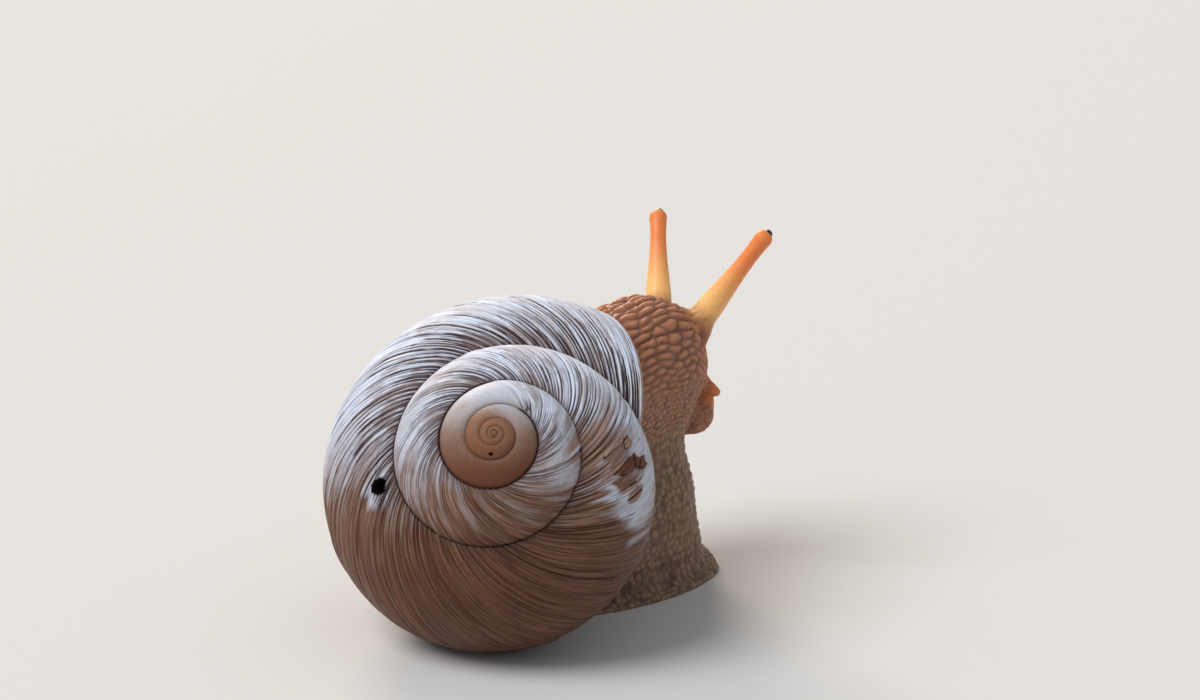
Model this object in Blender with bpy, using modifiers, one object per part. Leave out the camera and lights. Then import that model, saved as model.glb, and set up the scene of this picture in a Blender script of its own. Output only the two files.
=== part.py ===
"""Edible snail (Helix pomatia) at rest, reaching forward out of its shell.

Lengths below are in millimetres and become metres where a mesh is made.
X points the way the snail faces, Y to its left, Z up. The ground is Z = 0, and the origin is the
middle of the sole, under the neck.

The shell is a tube wound round an axis. Its section is an ellipse that grows by the same factor each
turn while it moves outward and down the axis. What shows of each whorl is the stretch of that ellipse
between two sutures, the lines where it meets the whorls above and below it. The soft body is four
lofts run together, cut to the shell and parted by thin planes into the pieces of the body.
"""

import math

import bmesh
import bpy
import numpy as np
from mathutils import Matrix, Vector

MM = 0.001
TURN = 2.0 * math.pi

# Clearances between neighbours
GAP = 0.3                       # between two solids that touch
EYE_GAP = 0.12                  # round an eyeball, which is hardly bigger than GAP

# Shell: the tube's section and its path, at the lip
SHELL_WHORLS = 5                # turns from the nucleus to the lip
SHELL_GROWTH = 1.7345           # factor that the tube grows by in each turn
TUBE_OUT = 13.53                # section's centre from the axis
TUBE_DOWN = 28.81               # section's centre below the apex
TUBE_HALF_WIDTH = 13.62
TUBE_HALF_HEIGHT = 15.80
TUBE_LEAN = math.radians(11.4)  # the section's top leans in
OUT_POWER = 1.108               # distance from the axis grows as the tube's size to this power
DOWN_POWER = 1.328              # so does the distance below the apex
MOUTH_LENGTH = math.radians(110.0)   # last stretch, where the tube bends towards the mouth
MOUTH_RISE = 2.88
MOUTH_PULL_IN = 1.73
MOUTH_NARROWING = 0.195
LIP_SWEEP = math.radians(50.0)  # the lip falls back this much from its suture to the shoulder
LIP_SWEEP_FADE = 1.2            # how soon the sweep levels out towards the base
BASE_TO_WALL = 2.4              # the base's length round the section, in lengths of the wall
LIP_FLARE = 0.5                 # the lip turns out by this much
LIP_FLARE_LENGTH = math.radians(12.0)
COLUMELLA_RADIUS = 1.1          # closed pillar round the axis at the lip
BASE_END = math.radians(-176.0) # section angle where the base meets the pillar
PILLAR_ROOM = 2.6               # the soft body keeps this far from the pillar
PILLAR_TOP = 14.0               # from this far below the apex
PILLAR_FOOT = 33.0              # to this far
SHELL_WALL = 1.2
LIP_CLEARANCE = math.radians(1.2)   # the soft body starts this far ahead of the lip

# Shell: how finely it is faceted
TURN_COLUMNS = 36
SWEEP_COLUMNS = 5               # LIP_SWEEP in columns
WALL_ROWS = 5
BASE_ROWS = 10
MOUTH_ROWS = 4

# Shell: where it lies
APEX = (-30.0, -13.7, 27.5)
AXIS_HEADING = math.radians(-142.2)
AXIS_LEAN = math.radians(54.9)  # from upright
SHELL_SPIN = math.radians(111.8)

# Mantle: the collar that closes the shell's mouth
MANTLE_FRONT = math.radians(6.0)
MANTLE_BACK = math.radians(19.0)
MANTLE_MARGIN = 0.05            # in rows of the shell
POCKET_BACK = math.radians(22.5)
POCKET_OUTER_ROWS = (0.34, 1.86)    # rows of the last whorl that the mouth's pocket spans
POCKET_INNER_ROWS = (1.12, 1.80)    # rows of the whorl before it
POCKET_STEPS = 12
POCKET_LAYERS = 4

# Front of the body, level sections: height, foremost point, hindmost point, half width
FRONT_STATIONS = (
    (-1.5, 14.7, -4.0, 8.4),
    (2.5, 14.4, -4.0, 8.3),
    (7.0, 13.7, -4.0, 7.8),
    (11.3, 13.2, -3.0, 7.3),
    (14.6, 12.1, -2.0, 6.6),
    (17.4, 15.8, -1.0, 6.3),
    (20.0, 16.9, 0.0, 6.6),
    (24.0, 16.9, 1.0, 6.8),
    (28.0, 15.8, 2.0, 6.3),
    (31.0, 13.5, 3.0, 4.7),
    (32.4, 10.2, 5.0, 2.0),
)
# Neck, upright sections: distance ahead, middle to the left, middle's height, half width, half height
NECK_STATIONS = (
    (-15.0, 1.5, 20.5, 8.0, 9.0),
    (-8.0, 1.0, 21.3, 8.3, 10.4),
    (-2.0, 0.5, 22.4, 7.6, 9.9),
    (4.0, 0.0, 23.4, 7.0, 9.5),
    (9.0, 0.0, 23.7, 6.7, 9.0),
    (13.0, 0.0, 23.7, 5.6, 7.2),
    (15.0, 0.0, 23.7, 4.0, 5.0),
)
# Foot and tail, upright sections along the sole: ahead, to the left, half width, height
FOOT_STATIONS = (
    (10.5, 0.0, 5.8, 10.0),
    (5.0, 0.0, 8.2, 13.5),
    (-2.0, 1.0, 8.8, 14.0),
    (-8.5, 4.2, 8.4, 12.0),
    (-13.3, 8.0, 7.0, 8.8),
    (-17.0, 11.0, 5.3, 6.2),
    (-19.8, 13.2, 3.4, 4.0),
    (-21.8, 14.6, 1.4, 1.8),
)
# Edge of the sole, a low skirt round the foot: ahead, to the left, half width
SKIRT_STATIONS = (
    (16.0, 0.0, 3.0),
    (13.4, 0.0, 7.4),
    (6.0, 0.0, 10.0),
    (-2.0, 1.0, 10.2),
    (-8.5, 4.2, 9.4),
    (-13.3, 8.0, 7.8),
    (-16.8, 10.8, 5.9),
    (-19.4, 12.9, 3.9),
    (-21.4, 14.3, 1.6),
)
SKIRT_HEIGHT = 2.6
SOFT_SQUARENESS = 2.3           # exponent of the soft body's sections
SOFT_SIDES = 28
SOFT_STEPS = 4                  # rings to each pair of stations
SOFT_FACET = 1.5                # size of the soft body's facets
SOFT_SMOOTHING = 4

# Lips, two lobes under the face
LOBE_CENTRE = (14.9, 2.2, 17.6)
LOBE_RADIUS = 2.7

# Where the soft body is parted
CHIN_HEIGHT = 14.7
HEAD_START = 8.0
LIPS_TOP = 19.1
LIPS_START = 11.2
TAIL_START = (-12.0, 7.0)
TAIL_HEADING = math.radians(141.0)

# Tentacles: root, length past the root, radii at the root, under the tip and at the tip
UPPER_TENTACLE_ROOT = (14.1, 3.5, 29.8)
UPPER_TENTACLE_LENGTH = 12.3
UPPER_TENTACLE_RADII = (1.75, 0.85, 1.1)
UPPER_TENTACLE_SPREAD = {"left": math.radians(42.5), "right": math.radians(-49.0)}
UPPER_TENTACLE_PITCH = {"left": math.radians(50.0), "right": math.radians(53.5)}
LOWER_TENTACLE_ROOT = (14.3, 3.9, 21.6)
LOWER_TENTACLE_LENGTH = 2.7
LOWER_TENTACLE_RADII = (1.15, 0.65, 0.7)
LOWER_TENTACLE_SPREAD = math.radians(30.0)
LOWER_TENTACLE_PITCH = math.radians(-14.0)
TENTACLE_DEPTH = 1.8            # how far the root is sunk in the head
TENTACLE_SIDES = 12
EYE_RADIUS = 0.6
EYE_FORWARD = 0.4               # the eyeball's middle behind the tentacle's tip

# Surface finishes: colour, roughness
HORN = ((0.36, 0.24, 0.15, 1.0), 0.45)
COLLAR_FLESH = ((0.55, 0.45, 0.33, 1.0), 0.35)
GREY_FLESH = ((0.33, 0.27, 0.20, 1.0), 0.40)
FOOT_FLESH = ((0.38, 0.33, 0.26, 1.0), 0.40)
AMBER_FLESH = ((0.62, 0.33, 0.12, 1.0), 0.30)
EYE_BLACK = ((0.02, 0.02, 0.02, 1.0), 0.10)


# ---------------------------------------------------------------------------------- scene helpers
def clear_scene():
    for thing in list(bpy.data.objects):
        bpy.data.objects.remove(thing, do_unlink=True)


def new_collection(name):
    collection = bpy.data.collections.new(name)
    bpy.context.scene.collection.children.link(collection)
    return collection


def finish(name, colour, roughness):
    material = bpy.data.materials.new(name)
    material.use_nodes = True
    shader = material.node_tree.nodes["Principled BSDF"]
    shader.inputs["Base Color"].default_value = colour
    shader.inputs["Roughness"].default_value = roughness
    shader.inputs["Metallic"].default_value = 0.0
    return material


def mesh_object(name, points, faces, collection):
    """A closed mesh, its faces turned outward, from points in millimetres."""
    mesh = bpy.data.meshes.new(name)
    mesh.from_pydata([Vector(point) * MM for point in points], [], faces)
    bm = bmesh.new()
    bm.from_mesh(mesh)
    bmesh.ops.triangulate(bm, faces=bm.faces[:])
    bmesh.ops.recalc_face_normals(bm, faces=bm.faces[:])
    bm.to_mesh(mesh)
    bm.free()
    thing = bpy.data.objects.new(name, mesh)
    collection.objects.link(thing)
    return thing


def as_guide(thing):
    thing.hide_render = True
    thing.display_type = "WIRE"
    return thing


def boolean(thing, cutter, operation):
    modifier = thing.modifiers.new(cutter.name, "BOOLEAN")
    modifier.operation = operation
    modifier.object = cutter
    modifier.solver = "EXACT"


def evaluated_copy(thing, name, collection):
    """A new object with the mesh that `thing`'s modifiers give, in world space."""
    graph = bpy.context.evaluated_depsgraph_get()
    graph.update()
    mesh = bpy.data.meshes.new_from_object(thing.evaluated_get(graph))
    mesh.transform(thing.matrix_world)
    copy = bpy.data.objects.new(name, mesh)
    collection.objects.link(copy)
    return copy


def block(name, low, high, collection, turn=0.0, at=(0.0, 0.0, 0.0)):
    """A box guide between two corners, in millimetres, then turned about Z and moved."""
    bm = bmesh.new()
    bmesh.ops.create_cube(bm, size=1.0)
    size = [b - a for a, b in zip(low, high)]
    middle = [(a + b) / 2.0 for a, b in zip(low, high)]
    bmesh.ops.scale(bm, vec=[v * MM for v in size], verts=bm.verts[:])
    bmesh.ops.translate(bm, vec=[v * MM for v in middle], verts=bm.verts[:])
    mesh = bpy.data.meshes.new(name)
    bm.to_mesh(mesh)
    bm.free()
    thing = bpy.data.objects.new(name, mesh)
    thing.matrix_world = Matrix.Translation(Vector(at) * MM) @ Matrix.Rotation(turn, 4, "Z")
    collection.objects.link(thing)
    return as_guide(thing)


# ------------------------------------------------------------------------------------------ shell
def tube_section(theta, swell):
    """Centre (from the axis, along it) and half axes of the tube's section at growth angle theta."""
    size = np.exp(math.log(SHELL_GROWTH) / TURN * theta)
    mouth = np.clip(1.0 + theta / MOUTH_LENGTH, 0.0, None) ** 2
    flare = LIP_FLARE * np.clip(1.0 + theta / LIP_FLARE_LENGTH, 0.0, 1.5) ** 2
    narrowing = 1.0 - MOUTH_NARROWING * mouth
    out = TUBE_OUT * size**OUT_POWER - MOUTH_PULL_IN * mouth
    along = -TUBE_DOWN * size**DOWN_POWER + MOUTH_RISE * mouth
    half_width = TUBE_HALF_WIDTH * size * narrowing + flare + swell
    half_height = TUBE_HALF_HEIGHT * size * narrowing + flare + swell
    return out, along, half_width, half_height


def tube_outline(theta, angle, swell):
    """Distance from the axis and height of the section's outline at a section angle."""
    out, along, half_width, half_height = tube_section(theta, swell)
    across = half_width * np.cos(angle)
    upward = half_height * np.sin(angle)
    radius = out + across * math.cos(TUBE_LEAN) - upward * math.sin(TUBE_LEAN)
    height = along + across * math.sin(TUBE_LEAN) + upward * math.cos(TUBE_LEAN)
    return radius, height


def section_coordinates(theta, radius, height, swell):
    """A point in the section's own axes, in units of its half axes."""
    out, along, half_width, half_height = tube_section(theta, swell)
    across = (radius - out) * math.cos(TUBE_LEAN) + (height - along) * math.sin(TUBE_LEAN)
    upward = (height - along) * math.cos(TUBE_LEAN) - (radius - out) * math.sin(TUBE_LEAN)
    return across / half_width, upward / half_height


def suture_angle(theta, swell):
    """Section angle where the tube meets the whorl before it, found by halving."""
    outside = np.full_like(theta, math.radians(10.0))
    inside = np.full_like(theta, math.radians(125.0))
    for _ in range(40):
        middle = (outside + inside) / 2.0
        radius, height = tube_outline(theta, middle, swell)
        across, upward = section_coordinates(theta - TURN, radius, height, swell)
        is_outside = across**2 + upward**2 > 1.0
        outside = np.where(is_outside, middle, outside)
        inside = np.where(is_outside, inside, middle)
    return (outside + inside) / 2.0


def shoulder_angle(theta, swell):
    """Section angle where the whorl after this one covers it; the last whorl keeps its first value."""
    following = np.minimum(theta, -TURN) + TURN
    radius, height = tube_outline(following, suture_angle(following, swell), swell)
    across, upward = section_coordinates(following - TURN, radius, height, swell)
    return np.arctan2(upward, across)


def lip_sweep(row):
    """How far growth lines fall back at a row: 0 at the suture, LIP_SWEEP at the shoulder (row 1)."""
    return LIP_SWEEP * (1.0 - np.exp(-row / LIP_SWEEP_FADE)) / (1.0 - math.exp(-1.0 / LIP_SWEEP_FADE))


def shell_point(growth, row, swell, depth=0.0):
    """Point on the growth line `growth`: row 0 is the suture, 1 the shoulder, 2 the end of the base."""
    growth, row = np.broadcast_arrays(np.asarray(growth, float), np.asarray(row, float))
    base = np.clip(row - 1.0, 0.0, 1.0)
    theta = growth - lip_sweep(np.minimum(row, 1.0) + base * BASE_TO_WALL) - depth
    top = suture_angle(theta, swell)
    shoulder = shoulder_angle(theta, swell)
    angle = top + (shoulder - top) * np.minimum(row, 1.0) + (BASE_END - shoulder) * base
    radius, height = tube_outline(theta, angle, swell)
    pillar = COLUMELLA_RADIUS * np.exp(math.log(SHELL_GROWTH) / TURN * theta)
    radius = (radius + np.sqrt(radius**2 + pillar**2)) / 2.0
    return np.stack([radius * np.cos(theta), -radius * np.sin(theta), height], -1)


def shell_form(swell, reach):
    """Points and faces of the closed shell; its mouth is closed level with the lip.

    Each column is a growth line. The lower end of a column is the upper end of another column almost a
    turn later, because whorls meet at the suture, so these share a point.
    """
    columns = SHELL_WHORLS * TURN_COLUMNS
    first_base = columns - TURN_COLUMNS + SWEEP_COLUMNS
    growth = (np.arange(columns + 1) - columns) * TURN / TURN_COLUMNS
    growth[-1] += reach
    rows = WALL_ROWS + BASE_ROWS
    row_values = np.concatenate([np.linspace(0.0, 1.0, WALL_ROWS + 1), np.linspace(1.0, 2.0, BASE_ROWS + 1)[1:]])
    grid = shell_point(growth[:, None], row_values[None, :], swell)
    points = []
    index = np.full((columns + 1, rows + 1), -1)
    for column in range(columns, -1, -1):
        last_row = rows if column >= first_base else WALL_ROWS
        for row in range(last_row + 1):
            if row == WALL_ROWS and column <= first_base:
                index[column, row] = index[column + TURN_COLUMNS - SWEEP_COLUMNS, 0]
                continue
            index[column, row] = len(points)
            points.append(tuple(grid[column, row]))
    faces = []
    for column in range(columns):
        last_row = rows if column >= first_base else WALL_ROWS
        for row in range(last_row):
            faces.append((index[column, row], index[column, row + 1],
                          index[column + 1, row + 1], index[column + 1, row]))

    # The nucleus, a low dome over the innermost turn
    start = list(index[0, : WALL_ROWS + 1][::-1])
    turn = list(index[1 : TURN_COLUMNS - SWEEP_COLUMNS, 0])
    ring = start + turn
    top = len(points)
    points.append((0.0, 0.0, max(points[i][2] for i in ring) + swell / 2.0))
    faces.extend((ring[i], ring[(i + 1) % len(ring)], top) for i in range(len(ring)))

    # The pillar: points on the axis, joined to the inner end of the base
    inner = index[first_base:, rows]
    pillar_heights = np.linspace(points[inner[0]][2], points[inner[-1]][2], MOUTH_ROWS + 1)
    pillar = [len(points) + i for i in range(MOUTH_ROWS + 1)]
    points.extend((0.0, 0.0, height) for height in pillar_heights)
    share = np.rint(np.linspace(0, MOUTH_ROWS, len(inner))).astype(int)
    for i in range(len(inner) - 1):
        corners = [inner[i], pillar[share[i]], pillar[share[i + 1]], inner[i + 1]]
        faces.append(tuple(dict.fromkeys(corners)))

    # The mouth, ruled from the lip to the whorl that it faces
    lip = list(index[columns, :]) + [pillar[-1]]
    wall = [index[first_base, max(row, WALL_ROWS)] for row in range(rows + 1)] + [pillar[0]]
    previous = [lip[0]] * (MOUTH_ROWS + 1)
    for row in range(1, rows + 2):
        if row == rows + 1:
            line = pillar[::-1]
        elif row <= WALL_ROWS:
            line = [lip[row]] + [lip[0]] * MOUTH_ROWS
        else:
            line = [lip[row]]
            near, far = np.array(points[lip[row]]), np.array(points[wall[row]])
            for i in range(1, MOUTH_ROWS):
                line.append(len(points))
                points.append(tuple(near + (far - near) * i / MOUTH_ROWS))
            line.append(wall[row])
        for i in range(MOUTH_ROWS):
            corners = dict.fromkeys([previous[i], previous[i + 1], line[i + 1], line[i]])
            if len(corners) > 2:
                faces.append(tuple(corners))
        previous = line
    return points, [tuple(int(i) for i in face) for face in faces]


def mouth_patch(depth, inset, margin):
    """Grid of points across the shell's mouth, a little inside the lip, at a depth from it.

    `inset` moves its long sides in from the shell's walls, and `margin`, in rows, its two ends.
    """
    outer_rows = np.linspace(POCKET_OUTER_ROWS[0] + margin, POCKET_OUTER_ROWS[1] - margin, POCKET_STEPS + 1)
    inner_rows = np.linspace(POCKET_INNER_ROWS[0] + margin / 2.0, POCKET_INNER_ROWS[1] - margin / 2.0,
                             POCKET_STEPS + 1)
    growth_inner = -TURN + LIP_SWEEP
    outer = shell_point(0.0, outer_rows, -inset, depth)
    inner = shell_point(growth_inner, inner_rows, inset, depth)
    share = np.linspace(0.0, 1.0, MOUTH_ROWS + 1)[None, :, None]
    return outer[:, None, :] * (1.0 - share) + inner[:, None, :] * share


def plug_form(front, back, inset, margin):
    """Points and faces of a closed plug in the shell's mouth, between two depths."""
    depths = np.linspace(front, back, POCKET_LAYERS + 1)
    grid = np.stack([mouth_patch(depth, inset, margin) for depth in depths])
    layer_count, rows, across, _ = grid.shape
    index = np.arange(layer_count * rows * across).reshape(layer_count, rows, across)
    faces = []
    for layer in (0, layer_count - 1):
        for i in range(rows - 1):
            for j in range(across - 1):
                quad = index[layer, i : i + 2, j : j + 2]
                faces.append((quad[0, 0], quad[0, 1], quad[1, 1], quad[1, 0]))
    rim = [(i, 0) for i in range(rows)] + [(rows - 1, j) for j in range(1, across)]
    rim += [(i, across - 1) for i in range(rows - 2, -1, -1)] + [(0, j) for j in range(across - 2, 0, -1)]
    for layer in range(layer_count - 1):
        for a, b in zip(rim, rim[1:] + rim[:1]):
            faces.append((index[layer][a], index[layer][b], index[layer + 1][b], index[layer + 1][a]))
    used = sorted({int(i) for face in faces for i in face})
    place = {old: new for new, old in enumerate(used)}
    points = grid.reshape(-1, 3)[used]
    return [tuple(p) for p in points], [tuple(place[int(i)] for i in face) for face in faces]


def shell_placement():
    turn = Matrix.Rotation(AXIS_HEADING, 4, "Z") @ Matrix.Rotation(AXIS_LEAN, 4, "Y")
    return Matrix.Translation(Vector(APEX) * MM) @ turn @ Matrix.Rotation(SHELL_SPIN, 4, "Z")


def pillar_clearance(guides):
    """A rod along the lower part of the shell's axis, which the soft body passes."""
    bm = bmesh.new()
    bmesh.ops.create_cone(bm, cap_ends=True, segments=16, radius1=PILLAR_ROOM * MM, radius2=PILLAR_ROOM * MM,
                          depth=(PILLAR_FOOT - PILLAR_TOP) * MM)
    bmesh.ops.translate(bm, vec=(0.0, 0.0, -(PILLAR_FOOT + PILLAR_TOP) / 2.0 * MM), verts=bm.verts[:])
    mesh = bpy.data.meshes.new("pillar_clearance")
    bm.to_mesh(mesh)
    bm.free()
    rod = bpy.data.objects.new("pillar_clearance", mesh)
    guides.objects.link(rod)
    return as_guide(rod)


def build_shell(parts, guides, floor):
    """The shell and the mantle in its mouth; returns the guides that trim the soft body to the shell."""
    place = shell_placement()
    shell = mesh_object("shell", *shell_form(0.0, 0.0), parts)
    pocket = as_guide(mesh_object("mouth_pocket", *plug_form(-POCKET_BACK, POCKET_BACK, SHELL_WALL, 0.0), guides))
    mantle_form = plug_form(MANTLE_FRONT, MANTLE_BACK, SHELL_WALL + 1.6 * GAP, MANTLE_MARGIN)
    mantle = mesh_object("mantle_collar", *mantle_form, parts)
    clearance = as_guide(mesh_object("shell_clearance", *shell_form(1.2 * GAP, LIP_CLEARANCE), guides))
    pillar = pillar_clearance(guides)
    for thing in (shell, pocket, mantle, clearance, pillar):
        thing.matrix_world = place
    boolean(shell, pocket, "DIFFERENCE")
    boolean(shell, floor, "DIFFERENCE")
    shell.data.materials.append(finish("shell_horn", *HORN))
    mantle.data.materials.append(finish("mantle_flesh", *COLLAR_FLESH))
    return clearance, pillar


# -------------------------------------------------------------------------------------- soft body
def smooth_stations(stations):
    """Stations joined by a smooth curve through them, SOFT_STEPS rings to each pair."""
    table = np.array(stations, float)
    padded = np.vstack([2 * table[0] - table[1], table, 2 * table[-1] - table[-2]])
    pieces = []
    for i in range(1, len(padded) - 2):
        a, b, c, d = padded[i - 1 : i + 3]
        t = np.linspace(0.0, 1.0, SOFT_STEPS, endpoint=False)[:, None]
        pieces.append(b + 0.5 * t * (c - a + t * (2 * a - 5 * b + 4 * c - d + t * (3 * (b - c) + d - a))))
    return np.vstack(pieces + [table[-1:]])


def ring_points(centre, across, upward, half_across, half_up):
    """A closed ring, an ellipse made slightly square."""
    angle = np.linspace(0.0, TURN, SOFT_SIDES, endpoint=False)[:, None]
    cosine, sine = np.cos(angle), np.sin(angle)
    power = 2.0 / SOFT_SQUARENESS
    side = np.sign(cosine) * np.abs(cosine) ** power * half_across
    rise = np.sign(sine) * np.abs(sine) ** power * half_up
    return np.array(centre) + side * np.array(across) + rise * np.array(upward)


def loft(name, rings, collection):
    """A closed solid through rings of equal length, with a point in the middle of each end."""
    sides = len(rings[0])
    points = [tuple(p) for ring in rings for p in ring]
    points += [tuple(np.mean(rings[0], 0)), tuple(np.mean(rings[-1], 0))]
    first, last = len(points) - 2, len(points) - 1
    faces = []
    for side in range(sides):
        following = (side + 1) % sides
        for ring in range(len(rings) - 1):
            a, b = ring * sides, (ring + 1) * sides
            faces.append((a + side, a + following, b + following, b + side))
        end = (len(rings) - 1) * sides
        faces.append((following, side, first))
        faces.append((end + side, end + following, last))
    return mesh_object(name, points, faces, collection)


def front_rings():
    rings = []
    for height, ahead, behind, half_width in smooth_stations(FRONT_STATIONS):
        centre = ((ahead + behind) / 2.0, 0.0, height)
        rings.append(ring_points(centre, (1, 0, 0), (0, 1, 0), (ahead - behind) / 2.0, half_width))
    return rings


def neck_rings():
    rings = []
    for ahead, left, height, half_width, half_height in smooth_stations(NECK_STATIONS):
        rings.append(ring_points((ahead, left, height), (0, 1, 0), (0, 0, 1), half_width, half_height))
    return rings


def foot_rings(stations):
    rows = smooth_stations(stations)
    heading = np.arctan2(np.gradient(rows[:, 1]), np.gradient(rows[:, 0]))
    rings = []
    for (ahead, left, half_width, height), turn in zip(rows, heading):
        across = (-math.sin(turn), math.cos(turn), 0.0)
        rings.append(ring_points((ahead, left, 0.0), across, (0, 0, 1), half_width, height))
    return rings


def soft_body(guides, floor, clearances):
    """The whole soft body in one piece, trimmed to the ground and to the shell."""
    forms = [
        loft("front_form", front_rings(), guides),
        loft("neck_form", neck_rings(), guides),
        loft("foot_form", foot_rings(FOOT_STATIONS), guides),
        loft("skirt_form", foot_rings([(*row, SKIRT_HEIGHT) for row in SKIRT_STATIONS]), guides),
    ]
    joined = bmesh.new()
    for form in forms:
        joined.from_mesh(form.data)
        bpy.data.objects.remove(form, do_unlink=True)
    for side in (-1.0, 1.0):
        middle = Vector((LOBE_CENTRE[0], side * LOBE_CENTRE[1], LOBE_CENTRE[2])) * MM
        bmesh.ops.create_icosphere(joined, subdivisions=2, radius=LOBE_RADIUS * MM,
                                   matrix=Matrix.Translation(middle))
    mesh = bpy.data.meshes.new("soft_form")
    joined.to_mesh(mesh)
    joined.free()
    form = as_guide(bpy.data.objects.new("soft_form", mesh))
    guides.objects.link(form)
    remesh = form.modifiers.new("one_skin", "REMESH")
    remesh.mode = "VOXEL"
    remesh.voxel_size = SOFT_FACET * MM
    smooth = form.modifiers.new("soften", "SMOOTH")
    smooth.factor = 0.5
    smooth.iterations = SOFT_SMOOTHING
    for cutter in (*clearances, floor):
        boolean(form, cutter, "DIFFERENCE")
    return as_guide(evaluated_copy(form, "soft_whole", guides))


def soft_piece(name, whole, keep, remove, material, parts):
    """One piece of the soft body: what lies in `keep` and outside each of `remove`."""
    piece = bpy.data.objects.new(name, whole.data.copy())
    parts.objects.link(piece)
    boolean(piece, keep, "INTERSECT")
    for cutter in remove:
        boolean(piece, cutter, "DIFFERENCE")
    piece.data.materials.clear()
    piece.data.materials.append(material)
    return piece


def tentacle_form(name, length, radii, swell, collection):
    """A turned feeler along Z with a swollen tip; `swell` makes the socket that it sits in."""
    root, waist, tip = (radius + swell for radius in radii)
    bottom = -TENTACLE_DEPTH - swell
    heights = np.linspace(0.0, length - tip + swell, 7)
    share = heights / heights[-1]
    taper = waist + (root - waist) * (1.0 - share) ** 1.6 + (tip - waist) * share**6
    profile = [(0.0, heights[-1] + tip)]
    for angle in np.radians([70.0, 45.0, 20.0]):
        profile.append((tip * math.cos(angle), heights[-1] + tip * math.sin(angle)))
    profile += [(radius, height) for radius, height in zip(taper[::-1], heights[::-1])]
    profile += [(root, bottom), (0.0, bottom)]
    mesh = bpy.data.meshes.new(name)
    edges = [(i, i + 1) for i in range(len(profile) - 1)]
    mesh.from_pydata([(radius * MM, 0.0, height * MM) for radius, height in profile], edges, [])
    thing = bpy.data.objects.new(name, mesh)
    collection.objects.link(thing)
    screw = thing.modifiers.new("turn", "SCREW")
    screw.steps = TENTACLE_SIDES
    screw.render_steps = TENTACLE_SIDES
    screw.use_merge_vertices = True
    screw.merge_threshold = 0.000001
    return thing


def aim(root, side, spread, pitch):
    """Placement with Z along a feeler that leans out to a side."""
    direction = Vector((math.cos(pitch) * math.cos(spread), math.cos(pitch) * math.sin(spread),
                        math.sin(pitch)))
    place = Matrix.Translation(Vector((root[0], side * root[1], root[2])) * MM)
    return place @ direction.to_track_quat("Z", "X").to_matrix().to_4x4()


def build_tentacles(parts, guides):
    """Four feelers and two eyes; returns the sockets to cut in the head."""
    amber = finish("tentacle_flesh", *AMBER_FLESH)
    black = finish("eye", *EYE_BLACK)
    sockets = []
    for side_name, side in (("left", 1.0), ("right", -1.0)):
        upper = aim(UPPER_TENTACLE_ROOT, side, UPPER_TENTACLE_SPREAD[side_name],
                    UPPER_TENTACLE_PITCH[side_name])
        lower = aim(LOWER_TENTACLE_ROOT, side, side * LOWER_TENTACLE_SPREAD, LOWER_TENTACLE_PITCH)
        for kind, place, length, radii in (
            ("upper", upper, UPPER_TENTACLE_LENGTH, UPPER_TENTACLE_RADII),
            ("lower", lower, LOWER_TENTACLE_LENGTH, LOWER_TENTACLE_RADII),
        ):
            feeler = tentacle_form(f"{kind}_tentacle_{side_name}", length, radii, 0.0, parts)
            socket = as_guide(tentacle_form(f"{kind}_socket_{side_name}", length, radii, GAP, guides))
            feeler.matrix_world = socket.matrix_world = place
            feeler.data.materials.append(amber)
            sockets.append(socket)
            if kind == "upper":
                centre = place @ Matrix.Translation((0.0, 0.0, (length - EYE_FORWARD) * MM))
                for name, radius, group in ((f"eye_{side_name}", EYE_RADIUS, parts),
                                            (f"eye_socket_{side_name}", EYE_RADIUS + EYE_GAP, guides)):
                    bm = bmesh.new()
                    bmesh.ops.create_uvsphere(bm, u_segments=12, v_segments=8, radius=radius * MM)
                    mesh = bpy.data.meshes.new(name)
                    bm.to_mesh(mesh)
                    bm.free()
                    ball = bpy.data.objects.new(name, mesh)
                    ball.matrix_world = centre
                    group.objects.link(ball)
                    if group is parts:
                        ball.data.materials.append(black)
                    else:
                        boolean(feeler, as_guide(ball), "DIFFERENCE")
    return sockets


def build_soft_body(parts, guides, floor, clearances, sockets):
    whole = soft_body(guides, floor, clearances)
    grey = finish("body_flesh", *GREY_FLESH)
    pale = finish("foot_flesh", *FOOT_FLESH)
    far, half = 80.0, GAP / 2.0
    above_chin = CHIN_HEIGHT + half
    head_box = block("head_box", (HEAD_START + half, -far, above_chin), (far, far, far), guides)
    lips_box = block("lips_box", (LIPS_START + half, -far, above_chin), (far, far, LIPS_TOP - half), guides)
    lips_room = block("lips_room", (LIPS_START - half, -far, 0.0), (far, far, LIPS_TOP + half), guides)
    neck_box = block("neck_box", (-far, -far, above_chin), (HEAD_START - half, far, far), guides)
    low_box = block("low_box", (-far, -far, -far), (far, far, CHIN_HEIGHT - half), guides)
    at = (TAIL_START[0], TAIL_START[1], 0.0)
    tail_box = block("tail_box", (half, -far, -far), (far, far, CHIN_HEIGHT - half), guides, TAIL_HEADING, at)
    tail_room = block("tail_room", (-half, -far, -far), (far, far, far), guides, TAIL_HEADING, at)
    soft_piece("head", whole, head_box, [lips_room] + sockets, grey, parts)
    soft_piece("lips", whole, lips_box, [], grey, parts)
    soft_piece("neck", whole, neck_box, [], grey, parts)
    soft_piece("foot", whole, low_box, [tail_room], pale, parts)
    soft_piece("tail", whole, tail_box, [], pale, parts)


def main():
    clear_scene()
    parts = new_collection("edible_snail")
    guides = new_collection("guides")
    floor = block("ground", (-90.0, -90.0, -40.0), (90.0, 90.0, 0.0), guides)
    clearances = build_shell(parts, guides, floor)
    sockets = build_tentacles(parts, guides)
    bpy.context.view_layer.update()
    build_soft_body(parts, guides, floor, clearances, sockets)


main()
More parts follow.
